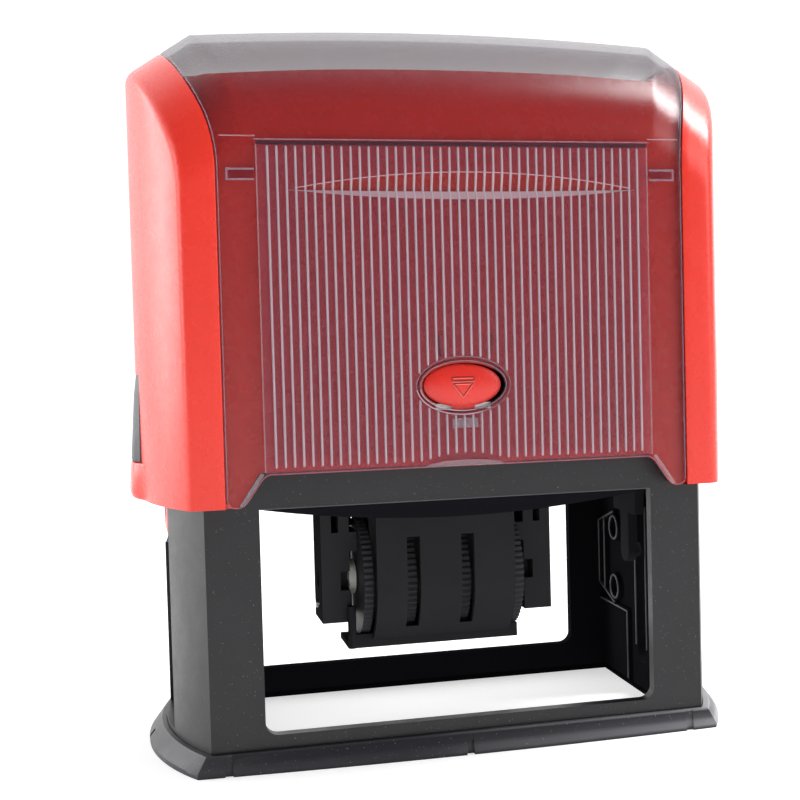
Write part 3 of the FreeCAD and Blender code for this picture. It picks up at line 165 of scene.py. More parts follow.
def raise_grain(tree, shader, height, strength, distance):
    bump = node(tree, "ShaderNodeBump", Strength=strength, Distance=distance)
    tree.links.new(height, bump.inputs["Height"])
    tree.links.new(bump.outputs["Normal"], shader.inputs["Normal"])


def object_noise(tree, scale, detail, rough=0.5):
    """Noise in the object's own coordinates, which are metres."""
    place = node(tree, "ShaderNodeTexCoord")
    noise = node(tree, "ShaderNodeTexNoise", Scale=scale, Detail=detail, Roughness=rough)
    tree.links.new(place.outputs["Object"], noise.inputs["Vector"])
    return noise


def ramp(tree, source, stops):
    item = node(tree, "ShaderNodeValToRGB")
    item.color_ramp.elements[0].position = stops[0][0]
    item.color_ramp.elements[0].color = stops[0][1]
    item.color_ramp.elements[1].position = stops[-1][0]
    item.color_ramp.elements[1].color = stops[-1][1]
    for place, colour in stops[1:-1]:
        item.color_ramp.elements.new(place).color = colour
    tree.links.new(source, item.inputs["Fac"])
    return item


def grey_ramp(tree, source, stops):
    """The colour output of a ramp of greys."""
    return ramp(tree, source, [(spot, (grey,) * 3 + (1,)) for spot, grey in stops]).outputs["Color"]


def shade(colour, factor):
    return tuple(min(1, c * factor) for c in colour) + (1,)


def moulded(name, colour, roughness, grain, depth=0.05, spread=0.12, speckle=0.0, sheen=0.5):
    """Moulded plastic: fine spark-eroded grain, cloudy gloss and slight colour drift."""
    material, tree, shader = plain(name, colour, roughness, Specular_IOR_Level=sheen)
    drift = object_noise(tree, 45, 3)
    shades = [(0.25, shade(colour, 1 - spread)), (0.75, shade(colour, 1 + spread))]
    tint = ramp(tree, drift.outputs["Fac"], shades)
    source = tint.outputs["Color"]
    if speckle:
        dust = object_noise(tree, 4200, 1)
        dots = grey_ramp(tree, dust.outputs["Fac"], [(0.735, 0), (0.79, 1)])
        pale = tuple(c + (1 - c) * speckle for c in colour) + (1,)
        source = mix_in(tree, source, pale, dots)
    tree.links.new(source, shader.inputs["Base Color"])
    cloud = object_noise(tree, 260, 4, 0.65)
    gloss = grey_ramp(tree, cloud.outputs["Fac"], [(0.3, roughness * 0.88), (0.7, roughness * 1.14)])
    tree.links.new(gloss, shader.inputs["Roughness"])
    fine = object_noise(tree, grain, 2)
    raise_grain(tree, shader, fine.outputs["Fac"], depth, 0.0002)
    return material


def see_through(name, colour, roughness, alpha, rim, grain=0.12, sheen=0.5):
    """Smoky plastic with a fine etched grain: clear when seen straight on, denser at its rims."""
    material, tree, shader = plain(name, colour, roughness, alpha, IOR=1.5, Specular_IOR_Level=sheen)
    facing = node(tree, "ShaderNodeLayerWeight", Blend=0.35)
    dense = grey_ramp(tree, facing.outputs["Facing"], [(0.12, alpha), (0.95, rim)])
    tree.links.new(dense, shader.inputs["Alpha"])
    cloud = object_noise(tree, 5200, 2)
    haze = grey_ramp(tree, cloud.outputs["Fac"], [(0.3, roughness * 0.8), (0.7, roughness * 1.25)])
    tree.links.new(haze, shader.inputs["Roughness"])
    fine = object_noise(tree, 5200, 2)
    raise_grain(tree, shader, fine.outputs["Fac"], grain, 0.0001)
    return material


def metal(name, colour, roughness):
    """Drawn or turned steel with fine lines round or along it."""
    material, tree, shader = plain(name, colour, roughness, Metallic=1.0)
    fine = object_noise(tree, 1500, 3)
    gloss = grey_ramp(tree, fine.outputs["Fac"], [(0.3, roughness * 0.7), (0.7, roughness * 1.4)])
    tree.links.new(gloss, shader.inputs["Roughness"])
    raise_grain(tree, shader, fine.outputs["Fac"], 0.08, 0.0001)
    return material


BASE_SHEEN, FOOT_SHEEN = 0.46, 0.30
red = moulded("housing_red", (0.84, 0.038, 0.022), 0.27, grain=6500, depth=0.10, spread=0.03, speckle=0.10)
button_red = moulded("button_red", (0.80, 0.03, 0.02), 0.28, grain=6500, depth=0.05, spread=0.03)
black = moulded("base_black", (0.0085, 0.0085, 0.0105), 0.38, grain=6000, depth=0.22, spread=0.15,
                speckle=0.14, sheen=BASE_SHEEN)
foot_black = moulded("foot_black", (0.016, 0.016, 0.021), 0.38, grain=6000, depth=0.22, spread=0.12,
                     speckle=0.3, sheen=FOOT_SHEEN)
dater_black = moulded("dater_black", (0.030, 0.030, 0.033), 0.45, grain=6000, depth=0.10, sheen=0)
# Painted shade: a glossless near-black for pieces put where there is only shade
painted_shade_black = moulded("painted_shade_black", (0.002, 0.002, 0.002), 0.6, grain=5000, depth=0.1, spread=0.1, sheen=0)
# Painted light: the dater's black made lighter for the end blocks to make up for the shade they sit in
block_lit_black = moulded("block_lit_black", (0.044, 0.044, 0.047), 0.45, grain=6000, depth=0.10, sheen=0)
wheel_black = moulded("wheel_black", (0.055, 0.055, 0.060), 0.42, grain=5000, depth=0.12, spread=0.15,
                      sheen=0.03)
# Light grey for beads that are painted highlights along edges and rims
highlight_black = moulded("highlight_black", (0.07, 0.07, 0.075), 0.35, grain=5000, depth=0.1, spread=0.15)
hub_grey = moulded("hub_grey", (0.80, 0.80, 0.73), 0.45, grain=5000, depth=0.1, spread=0.1)
# Darker red: painted shade along the button's raised bar and arrow
button_shade_line = moulded("button_shade_line", (0.34, 0.008, 0.008), 0.3, grain=6500, depth=0.05, spread=0.03)
# Light red: painted highlights beside those lines
button_glint = moulded("button_glint", (0.95, 0.26, 0.20), 0.3, grain=6500, depth=0.05, spread=0.03)
# Near white: a painted highlight for the bright patches in the gap below the button
leaf_lit_white = moulded("leaf_lit_white", (0.90, 0.92, 0.90), 0.4, grain=5000, depth=0.05, spread=0.03)
cartridge_black = moulded("cartridge_black", (0.014, 0.014, 0.016), 0.42, grain=6000, sheen=0.1)
grip_black = moulded("grip_black", (0.085, 0.085, 0.095), 0.5, grain=4500, depth=0.3, spread=0.1)
plate_grey = moulded("plate_grey", (0.28, 0.29, 0.31), 0.45, grain=6000)
die_rubber = moulded("die_rubber", (0.09, 0.055, 0.06), 0.7, grain=3000, depth=0.25, spread=0.2)
band_rubber = moulded("band_rubber", (0.022, 0.02, 0.022), 0.6, grain=3000, depth=0.25, spread=0.2)
foam = moulded("pad_foam", (0.02, 0.02, 0.05), 0.95, grain=1500, depth=0.9, spread=0.35)
smoky = see_through("smoky_clear", (0.032, 0.018, 0.038), 0.25, 0.158, 0.80, grain=0.2, sheen=0.8)
haze_clear = see_through("haze_clear", (0.50, 0.12, 0.19), 0.5, 0.11, 0.4)
frosted = see_through("frosted_clear", (0.60, 0.47, 0.52), 0.36, 0.66, 0.8)
# Light pink: painted highlights on the cover
highlight_clear = see_through("highlight_clear", (0.88, 0.62, 0.70), 0.3, 0.45, 0.6)
# Rose: painted highlight along the cover's lower edge
rose_highlight_clear = see_through("rose_highlight_clear", (0.80, 0.24, 0.27), 0.3, 0.6, 0.8)
patch_clear = see_through("patch_clear", (0.60, 0.48, 0.53), 0.5, 0.26, 0.5)
smudge_clear = see_through("smudge_clear", (0.020, 0.012, 0.024), 0.5, 0.22, 0.5)
# Pale violet: painted highlights along edges and seams
edge_highlight_clear = see_through("edge_highlight_clear", (0.46, 0.37, 0.47), 0.2, 0.36, 0.7, grain=0.02)
shadow_clear = see_through("shadow_clear", (0.030, 0.012, 0.024), 0.4, 0.45, 0.8)
deep_clear = see_through("deep_clear", (0.20, 0.004, 0.014), 0.4, 0.4, 0.7)
steel = metal("turned_steel", (0.62, 0.63, 0.65), 0.22)
wire = metal("spring_wire", (0.50, 0.51, 0.53), 0.3)


def scaled(tree, value, number, operation="MULTIPLY"):
    """A socket's value and a fixed number, joined by an operation."""
    join = node(tree, "ShaderNodeMath", operation=operation)
    tree.links.new(value, join.inputs[0])
    join.inputs[1].default_value = number
    return join.outputs[0]


def within(tree, value, limit):
    """One where a coordinate lies below a limit, zero elsewhere."""
    return scaled(tree, value, limit, "LESS_THAN")


def both(tree, first, second, operation="MULTIPLY"):
    join = node(tree, "ShaderNodeMath", operation=operation)
    tree.links.new(first, join.inputs[0])
    tree.links.new(second, join.inputs[1])
    return join.outputs[0]


def size_of(tree, value):
    join = node(tree, "ShaderNodeMath", operation="ABSOLUTE")
    tree.links.new(value, join.inputs[0])
    return join.outputs[0]


# Limits of the base's painted shade and of the foot's painted highlights and shade, in metres
CAVITY_X, CAVITY_Y, CAVITY_SHIFT = 0.03895, 0.02195, 0.0009
SLOPE_X, SLOPE_LOW, SLOPE_HIGH = 0.0313, 0.030, 0.04030
SLOT_X, SLOT_Y = 0.0433, 0.0045
FOOT_HIGH, FOOT_HOLE_X, FOOT_HOLE_Y = 0.0034, 0.0402, 0.0222


def paint_base_shade(material, sheen):
    """Painted shade: the base's cavity, its slot and the slope under its beam are made matt and darker than
    its outside.
    """
    tree = material.node_tree
    shader = tree.nodes["Principled BSDF"]
    parts = axes(tree)
    across, deep = size_of(tree, parts["X"]), size_of(tree, parts["Y"])
    hollow = size_of(tree, scaled(tree, parts["Y"], CAVITY_SHIFT, "SUBTRACT"))
    cavity = both(tree, within(tree, across, CAVITY_X), within(tree, hollow, CAVITY_Y))
    slope = both(tree, within(tree, across, SLOPE_X), within(tree, parts["Z"], SLOPE_HIGH))
    above = both(tree, slope, within(tree, parts["Z"], SLOPE_LOW), "SUBTRACT")
    slot = both(tree, within(tree, across, SLOT_X), within(tree, deep, SLOT_Y))
    # The painted-shade mask: the cavity, the slope under the beam and the slot
    inside = both(tree, both(tree, cavity, above, "MAXIMUM"), slot, "MAXIMUM")
    level = grey_ramp(tree, inside, [(0.0, sheen), (1.0, 0)])
    tree.links.new(level, shader.inputs["Specular IOR Level"])
    old = shader.inputs["Base Color"].links[0].from_socket
    tree.links.new(mix_in(tree, old, (0.008, 0.008, 0.010, 1), inside), shader.inputs["Base Color"])


def paint_foot_light_and_shade(material, sheen):
    """Painted highlights make the foot's lower rim and upper edge lighter, more so to the right, and painted
    shade makes its inside black.
    """
    tree = material.node_tree
    shader = tree.nodes["Principled BSDF"]
    parts = axes(tree)
    rise = scaled(tree, parts["Z"], 1 / FOOT_HIGH)
    greys = [(0.0, 0.0), (0.06, 0.05), (0.20, 0.9), (0.40, 0.8), (0.58, 0.2), (0.88, 0.03), (0.955, 0.8),
             (1.0, 0.8)]
    tone = grey_ramp(tree, rise, greys)
    drift = object_noise(tree, 30, 2)
    patchy = grey_ramp(tree, drift.outputs["Fac"], [(0.3, 0.35), (0.7, 1)])
    share = both(tree, tone, patchy)
    side = node(tree, "ShaderNodeMapRange")
    tree.links.new(parts["X"], side.inputs["Value"])
    for name, value in (("From Min", -0.01), ("From Max", 0.045), ("To Min", 0.1), ("To Max", 1.0)):
        side.inputs[name].default_value = value
    share = both(tree, share, side.outputs[0])
    old = shader.inputs["Base Color"].links[0].from_socket
    # Painted highlights: light grey mixed in along the rim rows, stronger to the right
    lit_rims = mix_in(tree, old, (0.30, 0.30, 0.32, 1), share)
    across, deep = size_of(tree, parts["X"]), size_of(tree, parts["Y"])
    # Painted shade: the inside of the foot ring is near-black and without gloss
    inner = both(tree, within(tree, across, FOOT_HOLE_X), within(tree, deep, FOOT_HOLE_Y))
    tree.links.new(mix_in(tree, lit_rims, (0.004, 0.004, 0.005, 1), inner), shader.inputs["Base Color"])
    level = grey_ramp(tree, inner, [(0.0, sheen), (1.0, 0)])
    tree.links.new(level, shader.inputs["Specular IOR Level"])


paint_base_shade(black, BASE_SHEEN)
paint_foot_light_and_shade(foot_black, FOOT_SHEEN)


make_camera()
make_stage()


# Geometry helpers, in millimetres

SIDES = (("left", -1), ("right", 1))
FRONT_CUT = (-28, -20)
UNCUT = 200.0


def finish_mesh(name, mesh, body, material, sharp=32):
    """Links a mesh as a piece of the part that rides on a body."""
    mesh.validate()
    for polygon in mesh.polygons:
        polygon.use_smooth = True
    mesh.set_sharp_from_angle(angle=math.radians(sharp))
    mesh.materials.clear()
    mesh.materials.append(material)
    piece = bpy.data.objects.new(name, mesh)
    bpy.context.collection.objects.link(piece)
    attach(piece, body)
    return piece


def from_lists(name, verts, faces):
    """A mesh from points in millimetres, with its faces turned outwards."""
    mesh = bpy.data.meshes.new(name)
    mesh.from_pydata([(v[0] / 1000, v[1] / 1000, v[2] / 1000) for v in verts], [], faces)
    net = bmesh.new()
    net.from_mesh(mesh)
    bmesh.ops.recalc_face_normals(net, faces=net.faces)
    net.to_mesh(mesh)
    net.free()
    return mesh


def solid(name, verts, faces, body, material, sharp=32):
    """A piece of the part from its points and faces."""
    return finish_mesh(name, from_lists(name, verts, faces), body, material, sharp)


def applied(piece):
    """The piece's mesh with its modifiers applied, in place of the old one."""
    graph = bpy.context.evaluated_depsgraph_get()
    graph.update()
    mesh = bpy.data.meshes.new_from_object(piece.evaluated_get(graph))
    old = piece.data
    piece.modifiers.clear()
    piece.data = mesh
    bpy.data.meshes.remove(old)
    return piece


def bevelled(piece, width):
    """Rounds the piece's edges by a width in millimetres."""
    bevel = piece.modifiers.new("bevel", "BEVEL")
    bevel.width = width / 1000
    bevel.segments = 2
    bevel.limit_method = "ANGLE"
    bevel.angle_limit = math.radians(30)
    bevel.use_clamp_overlap = True
    bevel.miter_outer = "MITER_ARC"
    applied(piece)
    for polygon in piece.data.polygons:
        polygon.use_smooth = True
    piece.data.set_sharp_from_angle(angle=math.radians(50))
    weight = piece.modifiers.new("normals", "WEIGHTED_NORMAL")
    weight.keep_sharp = True
    return applied(piece)


def copied(name, source, body, material, width):
    """A copy of a CAD node that stands for it, with its edges rounded where a width is given."""
    net = bmesh.new()
    net.from_mesh(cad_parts[source].data)
    bmesh.ops.remove_doubles(net, verts=net.verts, dist=0.000002)
    upper = [edge for edge in net.edges if max(corner.co.z for corner in edge.verts) > 0.00001]
    bmesh.ops.dissolve_limit(net, angle_limit=math.radians(1.0), verts=net.verts, edges=upper)
    mesh = bpy.data.meshes.new(name)
    net.to_mesh(mesh)
    net.free()
    piece = finish_mesh(name, mesh, body, material)
    if width:
        bevelled(piece, width)
    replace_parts(piece, source)
    return piece


def carve(piece, cutter):
    """Takes the cutter's volume out of the piece."""
    modifier = piece.modifiers.new("carve", "BOOLEAN")
    modifier.operation = "DIFFERENCE"
    modifier.solver = "EXACT"
    modifier.object = cutter
    applied(piece)
    mesh = cutter.data
    bpy.data.objects.remove(cutter)
    bpy.data.meshes.remove(mesh)


def loose(name, mesh):
    piece = bpy.data.objects.new(name, mesh)
    bpy.context.collection.objects.link(piece)
    return piece


def prism(outline, axis, low, high):
    """A closed prism from a flat outline; the outline's pair goes to the other two axes in order."""
    count = len(outline)
    verts = []
    for level in (low, high):
        for u, v in outline:
            verts.append({"x": (level, u, v), "y": (u, level, v), "z": (u, v, level)}[axis])
    faces = [tuple(range(count)), tuple(range(2 * count - 1, count - 1, -1))]
    for place in range(count):
        after = (place + 1) % count
        faces.append((place, after, after + count, place + count))
    return verts, faces


def rectangle(u_low, u_high, v_low, v_high):
    return [(u_low, v_low), (u_high, v_low), (u_high, v_high), (u_low, v_high)]


def rounded(corners, radius, steps=5):
    """An outline with its corners rounded; the corners run counter-clockwise at right angles."""
    points = []
    for place, corner in enumerate(corners):
        before = Vector(corners[place - 1]) - Vector(corner)
        after = Vector(corners[(place + 1) % len(corners)]) - Vector(corner)
        near, far = before.normalized() * radius, after.normalized() * radius
        centre = Vector(corner) + near + far
        for k in range(steps + 1):
            angle = math.pi / 2 * k / steps
            points.append(tuple(centre - far * math.cos(angle) - near * math.sin(angle)))
    return points


def ordered(sign, near, far):
    """The low and high values of a stretch on one side of the middle."""
    return tuple(sorted((sign * near, sign * far)))


def ellipse(centre_u, centre_v, half_u, half_v, count=96):
    return [
        (centre_u + half_u * math.cos(2 * math.pi * k / count),
         centre_v + half_v * math.sin(2 * math.pi * k / count))
        for k in range(count)
    ]


def ring_faces(count):
    """The faces between four loops of points that close up into a ring."""
    faces = []
    for ring in range(4):
        for k in range(count):
            after, other = (k + 1) % count, (ring + 1) % 4
            faces.append((ring * count + k, ring * count + after, other * count + after, other * count + k))
    return faces


def cut_prism(piece, outline, axis, low, high):
    """Cuts a prism out of the piece."""
    verts, faces = prism(outline, axis, low, high)
    carve(piece, loose("cutter", from_lists("cutter", verts, faces)))


def bar(name, x, y, z, body, material, width):
    """A rounded block between low and high values."""
    outline = [(x[0], y[0]), (x[1], y[0]), (x[1], y[1]), (x[0], y[1])]
    verts, faces = prism(outline, "z", z[0], z[1])
    bevelled(solid(name, verts, faces, body, material), width)


# The housing's form

CAP_HALF, BULGE, HALF_DEEP = 42.0, 7.0, 26.3
CAP_LOW, SHOULDER = 41.0, 96.0
R_SHOULDER, R_CROWN, CROWN_CENTRE = 16.0, 29.1, 87.9
SHOULDER_Y = HALF_DEEP - R_SHOULDER
CREASE, RISE, SLOPE = 10.0, 1.3, 0.66
SIDE_RADIUS = (HALF_DEEP ** 2 + BULGE ** 2) / (2 * BULGE)
STRAIGHT, BEND, ARCH = 10, 14, 12


def side_x(y):
    """The housing's bowed side: its distance from the middle."""
    return CAP_HALF + BULGE - SIDE_RADIUS + math.sqrt(SIDE_RADIUS ** 2 - y * y)


def drop(x, y):
    """How far the crown lies below its middle."""
    crease = side_x(y) - CREASE
    reach = abs(x)
    return RISE * (min(reach, crease) / crease) ** 2 + SLOPE * max(0.0, reach - crease)


def half_profile(inset):
    """Rows from the shoulder over the bend to the crown, as distances from the middle and levels."""
    turn = math.atan2(SHOULDER - CROWN_CENTRE, SHOULDER_Y)
    rows = []
    for place in range(1, BEND + 1):
        angle = turn * place / BEND
        rows.append((SHOULDER_Y + (R_SHOULDER - inset) * math.cos(angle),
                     SHOULDER + (R_SHOULDER - inset) * math.sin(angle)))
    for place in range(1, ARCH + 1):
        angle = turn + (math.pi / 2 - turn) * place / ARCH
        rows.append(((R_CROWN - inset) * math.cos(angle), CROWN_CENTRE + (R_CROWN - inset) * math.sin(angle)))
    return rows


def column_x(kind, value, y):
    """A column keeps its distance from the side, or a share of the width between the creases."""
    if kind == "edge":
        return math.copysign(1, value) * (side_x(y) - abs(value))
    return value * (side_x(y) - CREASE)


def column(kind, value, inset, lows, top):
    """One column of points from the front's lower edge over the crown to the back's lower edge."""
    deep = HALF_DEEP - inset
    x = column_x(kind, value, deep)
    shoulder = SHOULDER - drop(x, deep)
    arch = []
    for y, z in half_profile(inset):
        across = column_x(kind, value, y)
        arch.append((across, y, min(z - drop(across, y), top)))
    halves = []
    for low in lows:
        base = low(x)
        straight = [(x, deep, base + (shoulder - base) * place / STRAIGHT) for place in range(STRAIGHT + 1)]
        halves.append(straight + arch)
    return [(x, -y, z) for x, y, z in halves[0]] + halves[1][-2::-1]


def skin(columns, lows, top, sides):
    """Points and faces of one skin, and the loop of its open edge."""
    verts, faces, grid = [], [], []
    for kind, value, inset in columns:
        points = column(kind, value, inset, lows, top)
        grid.append(list(range(len(verts), len(verts) + len(points))))
        verts.extend(points)
    rows = len(grid[0])
    for c in range(len(grid) - 1):
        for r in range(rows - 1):
            faces.append((grid[c][r], grid[c + 1][r], grid[c + 1][r + 1], grid[c][r + 1]))
    if not sides:
        ends = [line[-1] for line in grid[-2::-1]]
        return verts, faces, [line[0] for line in grid] + grid[-1][1:] + ends + grid[0][-2:0:-1]
    edges = []
    for end in (grid[-1], grid[0]):
        across, middle = 12, (rows - 1) // 2
        kind, value, inset = columns[-1] if end is grid[-1] else columns[0]
        lines = []
        for r in range(middle):
            near, far = verts[end[r]], verts[end[rows - 1 - r]]
            line = [end[r]]
            for k in range(1, across):
                y = near[1] + (far[1] - near[1]) * k / across
                line.append(len(verts))
                verts.append((column_x(kind, value, y), y, near[2]))
            line.append(end[rows - 1 - r])
            lines.append(line)
        for lower, upper in zip(lines, lines[1:]):
            for k in range(across):
                faces.append((lower[k], lower[k + 1], upper[k + 1], upper[k]))
        for k in range(across):
            faces.append((lines[-1][k], lines[-1][k + 1], end[middle]))
        edges.append(lines[0][1:-1])
    loop = [line[0] for line in grid] + edges[0] + [line[-1] for line in grid[::-1]] + edges[1][::-1]
    return verts, faces, loop


def shell(name, outer, inner):
    """Two skins of the same make joined along their open edges."""
    verts, faces, loop = outer
    more, inner_faces, inner_loop = inner
    start = len(verts)
    verts = verts + more
    faces = faces + [tuple(v + start for v in face) for face in inner_faces]
    for place in range(len(loop)):
        after = (place + 1) % len(loop)
        faces.append((loop[place], loop[after], inner_loop[after] + start, inner_loop[place] + start))
    return from_lists(name, verts, faces)


def both_sides(edge_columns, middle_columns):
    """Columns listed from the right edge to the middle, made into a full set from left to right."""
    left = [("edge", -e, inset) for e, inset in edge_columns]
    left += [("share", -share, inset) for share, inset in middle_columns]
    right = [(kind, -value, inset) for kind, value, inset in left[::-1]]
    return left + right[1:]


FOOT_X, KNEE_X = 34.2, 30.9


def straight_edge(x, level, back=0.0):
    """Raised in the middle, slanting down to the cheeks."""
    reach = abs(x) - back
    if reach >= FOOT_X:
        return CAP_LOW
    if reach <= KNEE_X:
        return level
    return CAP_LOW + (level - CAP_LOW) * (FOOT_X - reach) / (FOOT_X - KNEE_X)


def lower_edge(level, soft=0.0, tip=0.0, back=0.0):
    """The housing's lower edge with softened corners and a rounded tip at the seam."""
    def at(x):
        z = sum(straight_edge(abs(x) + soft * k / 4, level, back) for k in range(-4, 5)) / 9
        inside = CAP_HALF - SEAM - GAP - abs(x)
        if inside < tip:
            z += tip - math.sqrt(max(0.0, tip ** 2 - (tip - max(0.0, inside)) ** 2))
        return z
    return at


RIM = 1.1
COVER, GAP, PANEL = 1.3, 0.1, 2.8
SEAM = 5.3
PANEL_FRONT, PANEL_BACK, COVER_EDGE = 46.1, 48.4, 45.8
MIDDLE_SHARES = [1.0, 0.985, 0.9656, 0.94, 0.85, 0.72, 0.58, 0.44, 0.3, 0.15, 0.0]
BUTTON_Z, BUTTON_HALF_X, BUTTON_HALF_Z = 58.3, 6.15, 3.33
BORE_X, BORE_Z = 0.42, BUTTON_Z - 0.1
SEAT_LOW, SEAT_IN, GRIP_HALF, GRIP_HIGH = 46.85, 47.75, 6.2, 60.9
ROOF, ROOF_INSIDE, ROOF_ARCH = 108.0, 106.2, 1.3


def middle(inset):
    return [(share, inset) for share in MIDDLE_SHARES]


def make_housing():
    """The red shell: cheeks that stand proud of a panel and a flat roof."""
    turns = [math.pi / 2 * k / 5 for k in range(6)]
    rim = [(RIM * (1 - math.cos(turn)), RIM * (1 - math.sin(turn))) for turn in turns]
    cheek = rim + [(2.4, 0), (3.8, 0), (SEAM - 0.45, 0), (SEAM - 0.2, 0.07), (SEAM - 0.05, 0.25), (SEAM, 0.5)]
    flush = COVER + GAP
    edge = cheek + [(SEAM, flush), (6.4, flush), (7.8, flush), (9.0, flush)]
    count = len(edge)
    inner_edge = [(1.9 + 8.0 * place / count, PANEL) for place in range(count)]
    lows = (lower_edge(PANEL_FRONT, back=0.7), lower_edge(PANEL_BACK))
    outer_skin = skin_with_roof(both_sides(edge, middle(flush)), lows, len(cheek))
    inner_skin = skin(both_sides(inner_edge, middle(PANEL)), lows, ROOF_INSIDE, True)
    piece = finish_mesh("housing_shell", shell("housing_shell", outer_skin, inner_skin), "housing", red)
    cut_prism(piece, ellipse(BORE_X, BORE_Z, 6.67, 3.53), "y", *FRONT_CUT)
    cut_prism(piece, rectangle(-2.1, 2.1, BUTTON_Z - 4.1, BUTTON_Z - 2), "y", *FRONT_CUT)
    for sign in (-1, 1):
        cut_prism(piece, rectangle(-GRIP_HALF - 0.05, GRIP_HALF + 0.05, SEAT_LOW, GRIP_HIGH + 0.05), "x",
                  *ordered(sign, SEAT_IN, 52))
    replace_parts(piece, "cap_shell")


def skin_with_roof(columns, lows, cheek_count):
    """The outer skin, with the roof cut flat between the cheeks."""
    verts, faces, loop = skin(columns, lows, UNCUT, True)
    rows = 2 * (STRAIGHT + BEND + ARCH) + 1
    for c in range(cheek_count, len(columns) - cheek_count):
        for r in range(rows):
            x, y, z = verts[c * rows + r]
            verts[c * rows + r] = (x, y, min(z, ROOF - ROOF_ARCH * (x / CAP_HALF) ** 2))
    return verts, faces, loop


def make_cover():
    """The smoky cover between the cheeks."""
    start = SEAM + GAP
    edge = [(start, 0.5), (start + 0.05, 0.25), (start + 0.2, 0.07), (start + 0.45, 0), (start + 0.9, 0),
            (6.9, 0), (7.4, 0), (7.8, 0), (8.2, 0), (9.0, 0), (9.6, 0)]
    lows = (lower_edge(COVER_EDGE, 0.8, 1.2),) * 2
    outer = skin(both_sides(edge, middle(0)), lows, UNCUT, False)
    inner = skin(both_sides([(e, COVER) for e, inset in edge], middle(COVER)), lows, UNCUT, False)
    piece = finish_mesh("clear_cover_shell", shell("clear_cover_shell", outer, inner), "housing", smoky)
    cut_prism(piece, ellipse(0, BUTTON_Z, 7.1, 4.1), "y", *FRONT_CUT)
    carve(piece, loose("scoop", scoop_cutter()))
    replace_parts(piece, "clear_cover")


SCOOP_X, SCOOP_HALF = 1.3, 27.35


def scoop_lines(share):
    """The scoop at a share of its half length: place, top, deepest line, foot and depth."""
    swell = max(0.02, 1 - share ** 2)
    top, deep, foot = 88.55 + 2.65 * swell, 88.45 - 0.2 * swell, 88.4 - 1.4 * swell
    return SCOOP_X + SCOOP_HALF * share, top, deep, foot, 0.75 * swell ** 0.5


def scoop_cutter():
    """A lens-shaped wedge: a gentle slope inwards from its top and a steep one back out at its foot."""
    count = 24
    verts, faces = [], []
    for place in range(count + 1):
        x, top, deep, foot, sunk = scoop_lines(2 * place / count - 1)
        verts.extend([(x, -27.2, top), (x, -HALF_DEEP, top - 0.02), (x, -HALF_DEEP + sunk, deep),
                      (x, -HALF_DEEP, foot + 0.02), (x, -27.2, foot)])
    for place in range(count):
        base = 5 * place
        for k in range(5):
            after = (k + 1) % 5
            faces.append((base + k, base + after, base + 5 + after, base + 5 + k))
    faces.extend([tuple(range(5)), tuple(range(5 * count + 4, 5 * count - 1, -1))])
    return from_lists("scoop", verts, faces)


make_housing()
make_cover()


# The cover's front: ribbed panel, ring, rims and marks

FACE = -HALF_DEEP
RING_X, RING_Z, MARK_X, MARK_Z = 7.75, 4.55, 6.4, 1.1
RIB_COUNT, RIB_REACH, RIB_LOW, RIB_HIGH, RIB_FACE = 43, 29.2, 46.75, 95.05, -26.22


def rib_runs(x):
    """The stretches of a rib, broken at the ring round the button and shorter above the thumb mark."""
    if abs(x) >= RING_X:
        return [(RIB_LOW, RIB_HIGH)]
    gap = RING_Z * math.sqrt(1 - (x / RING_X) ** 2)
    foot = RIB_LOW + max(0.0, MARK_Z * (1 - (x / MARK_X) ** 2))
    return [(foot, BUTTON_Z - gap), (BUTTON_Z + gap, RIB_HIGH)]


def rib_rows(x, low, high):
    """Levels along a rib with its set-back into the scoop and its size there."""
    rows = [(low, 0, 0.25), (low + 0.12, 0, 0.75), (low + 0.35, 0, 1.0)]
    share = (x - SCOOP_X) / SCOOP_HALF
    if high == RIB_HIGH and abs(share) < 0.97:
        place, top, deep, foot, sunk = scoop_lines(share)
        rows += [(foot - 0.05, 0, 1.0), (foot, 0, 1.0), (deep, sunk, 1.0), (deep + 0.1, sunk, 1.0),
                 (top, 0, 1.0), (top + 0.05, 0, 1.0)]
    return rows + [(high - 0.35, 0, 1.0), (high - 0.12, 0, 0.75), (high, 0, 0.25)]


def rib_mesh():
    """Half-round ribs with rounded ends."""
    verts, faces = [], []
    radius, arc = 0.2, 6
    for place in range(RIB_COUNT):
        x = RIB_REACH * (2 * place / (RIB_COUNT - 1) - 1)
        for low, high in rib_runs(x):
            rows = rib_rows(x, low, high)
            start = len(verts)
            for z, sunk, size in rows:
                for k in range(arc + 1):
                    angle = math.pi * k / arc
                    y = RIB_FACE + sunk - radius * size * math.sin(angle)
                    verts.append((x + radius * size * math.cos(angle), y, z))
            line = arc + 1
            for r in range(len(rows) - 1):
                for k in range(arc):
                    first = start + r * line + k
                    faces.append((first, first + 1, first + line + 1, first + line))
                faces.append((start + r * line + arc, start + r * line, start + (r + 1) * line,
                              start + (r + 1) * line + arc))
            faces.append(tuple(start + k for k in range(line)))
            last = start + (len(rows) - 1) * line
            faces.append(tuple(last + k for k in range(line - 1, -1, -1)))
    return from_lists("cover_ribs", verts, faces)


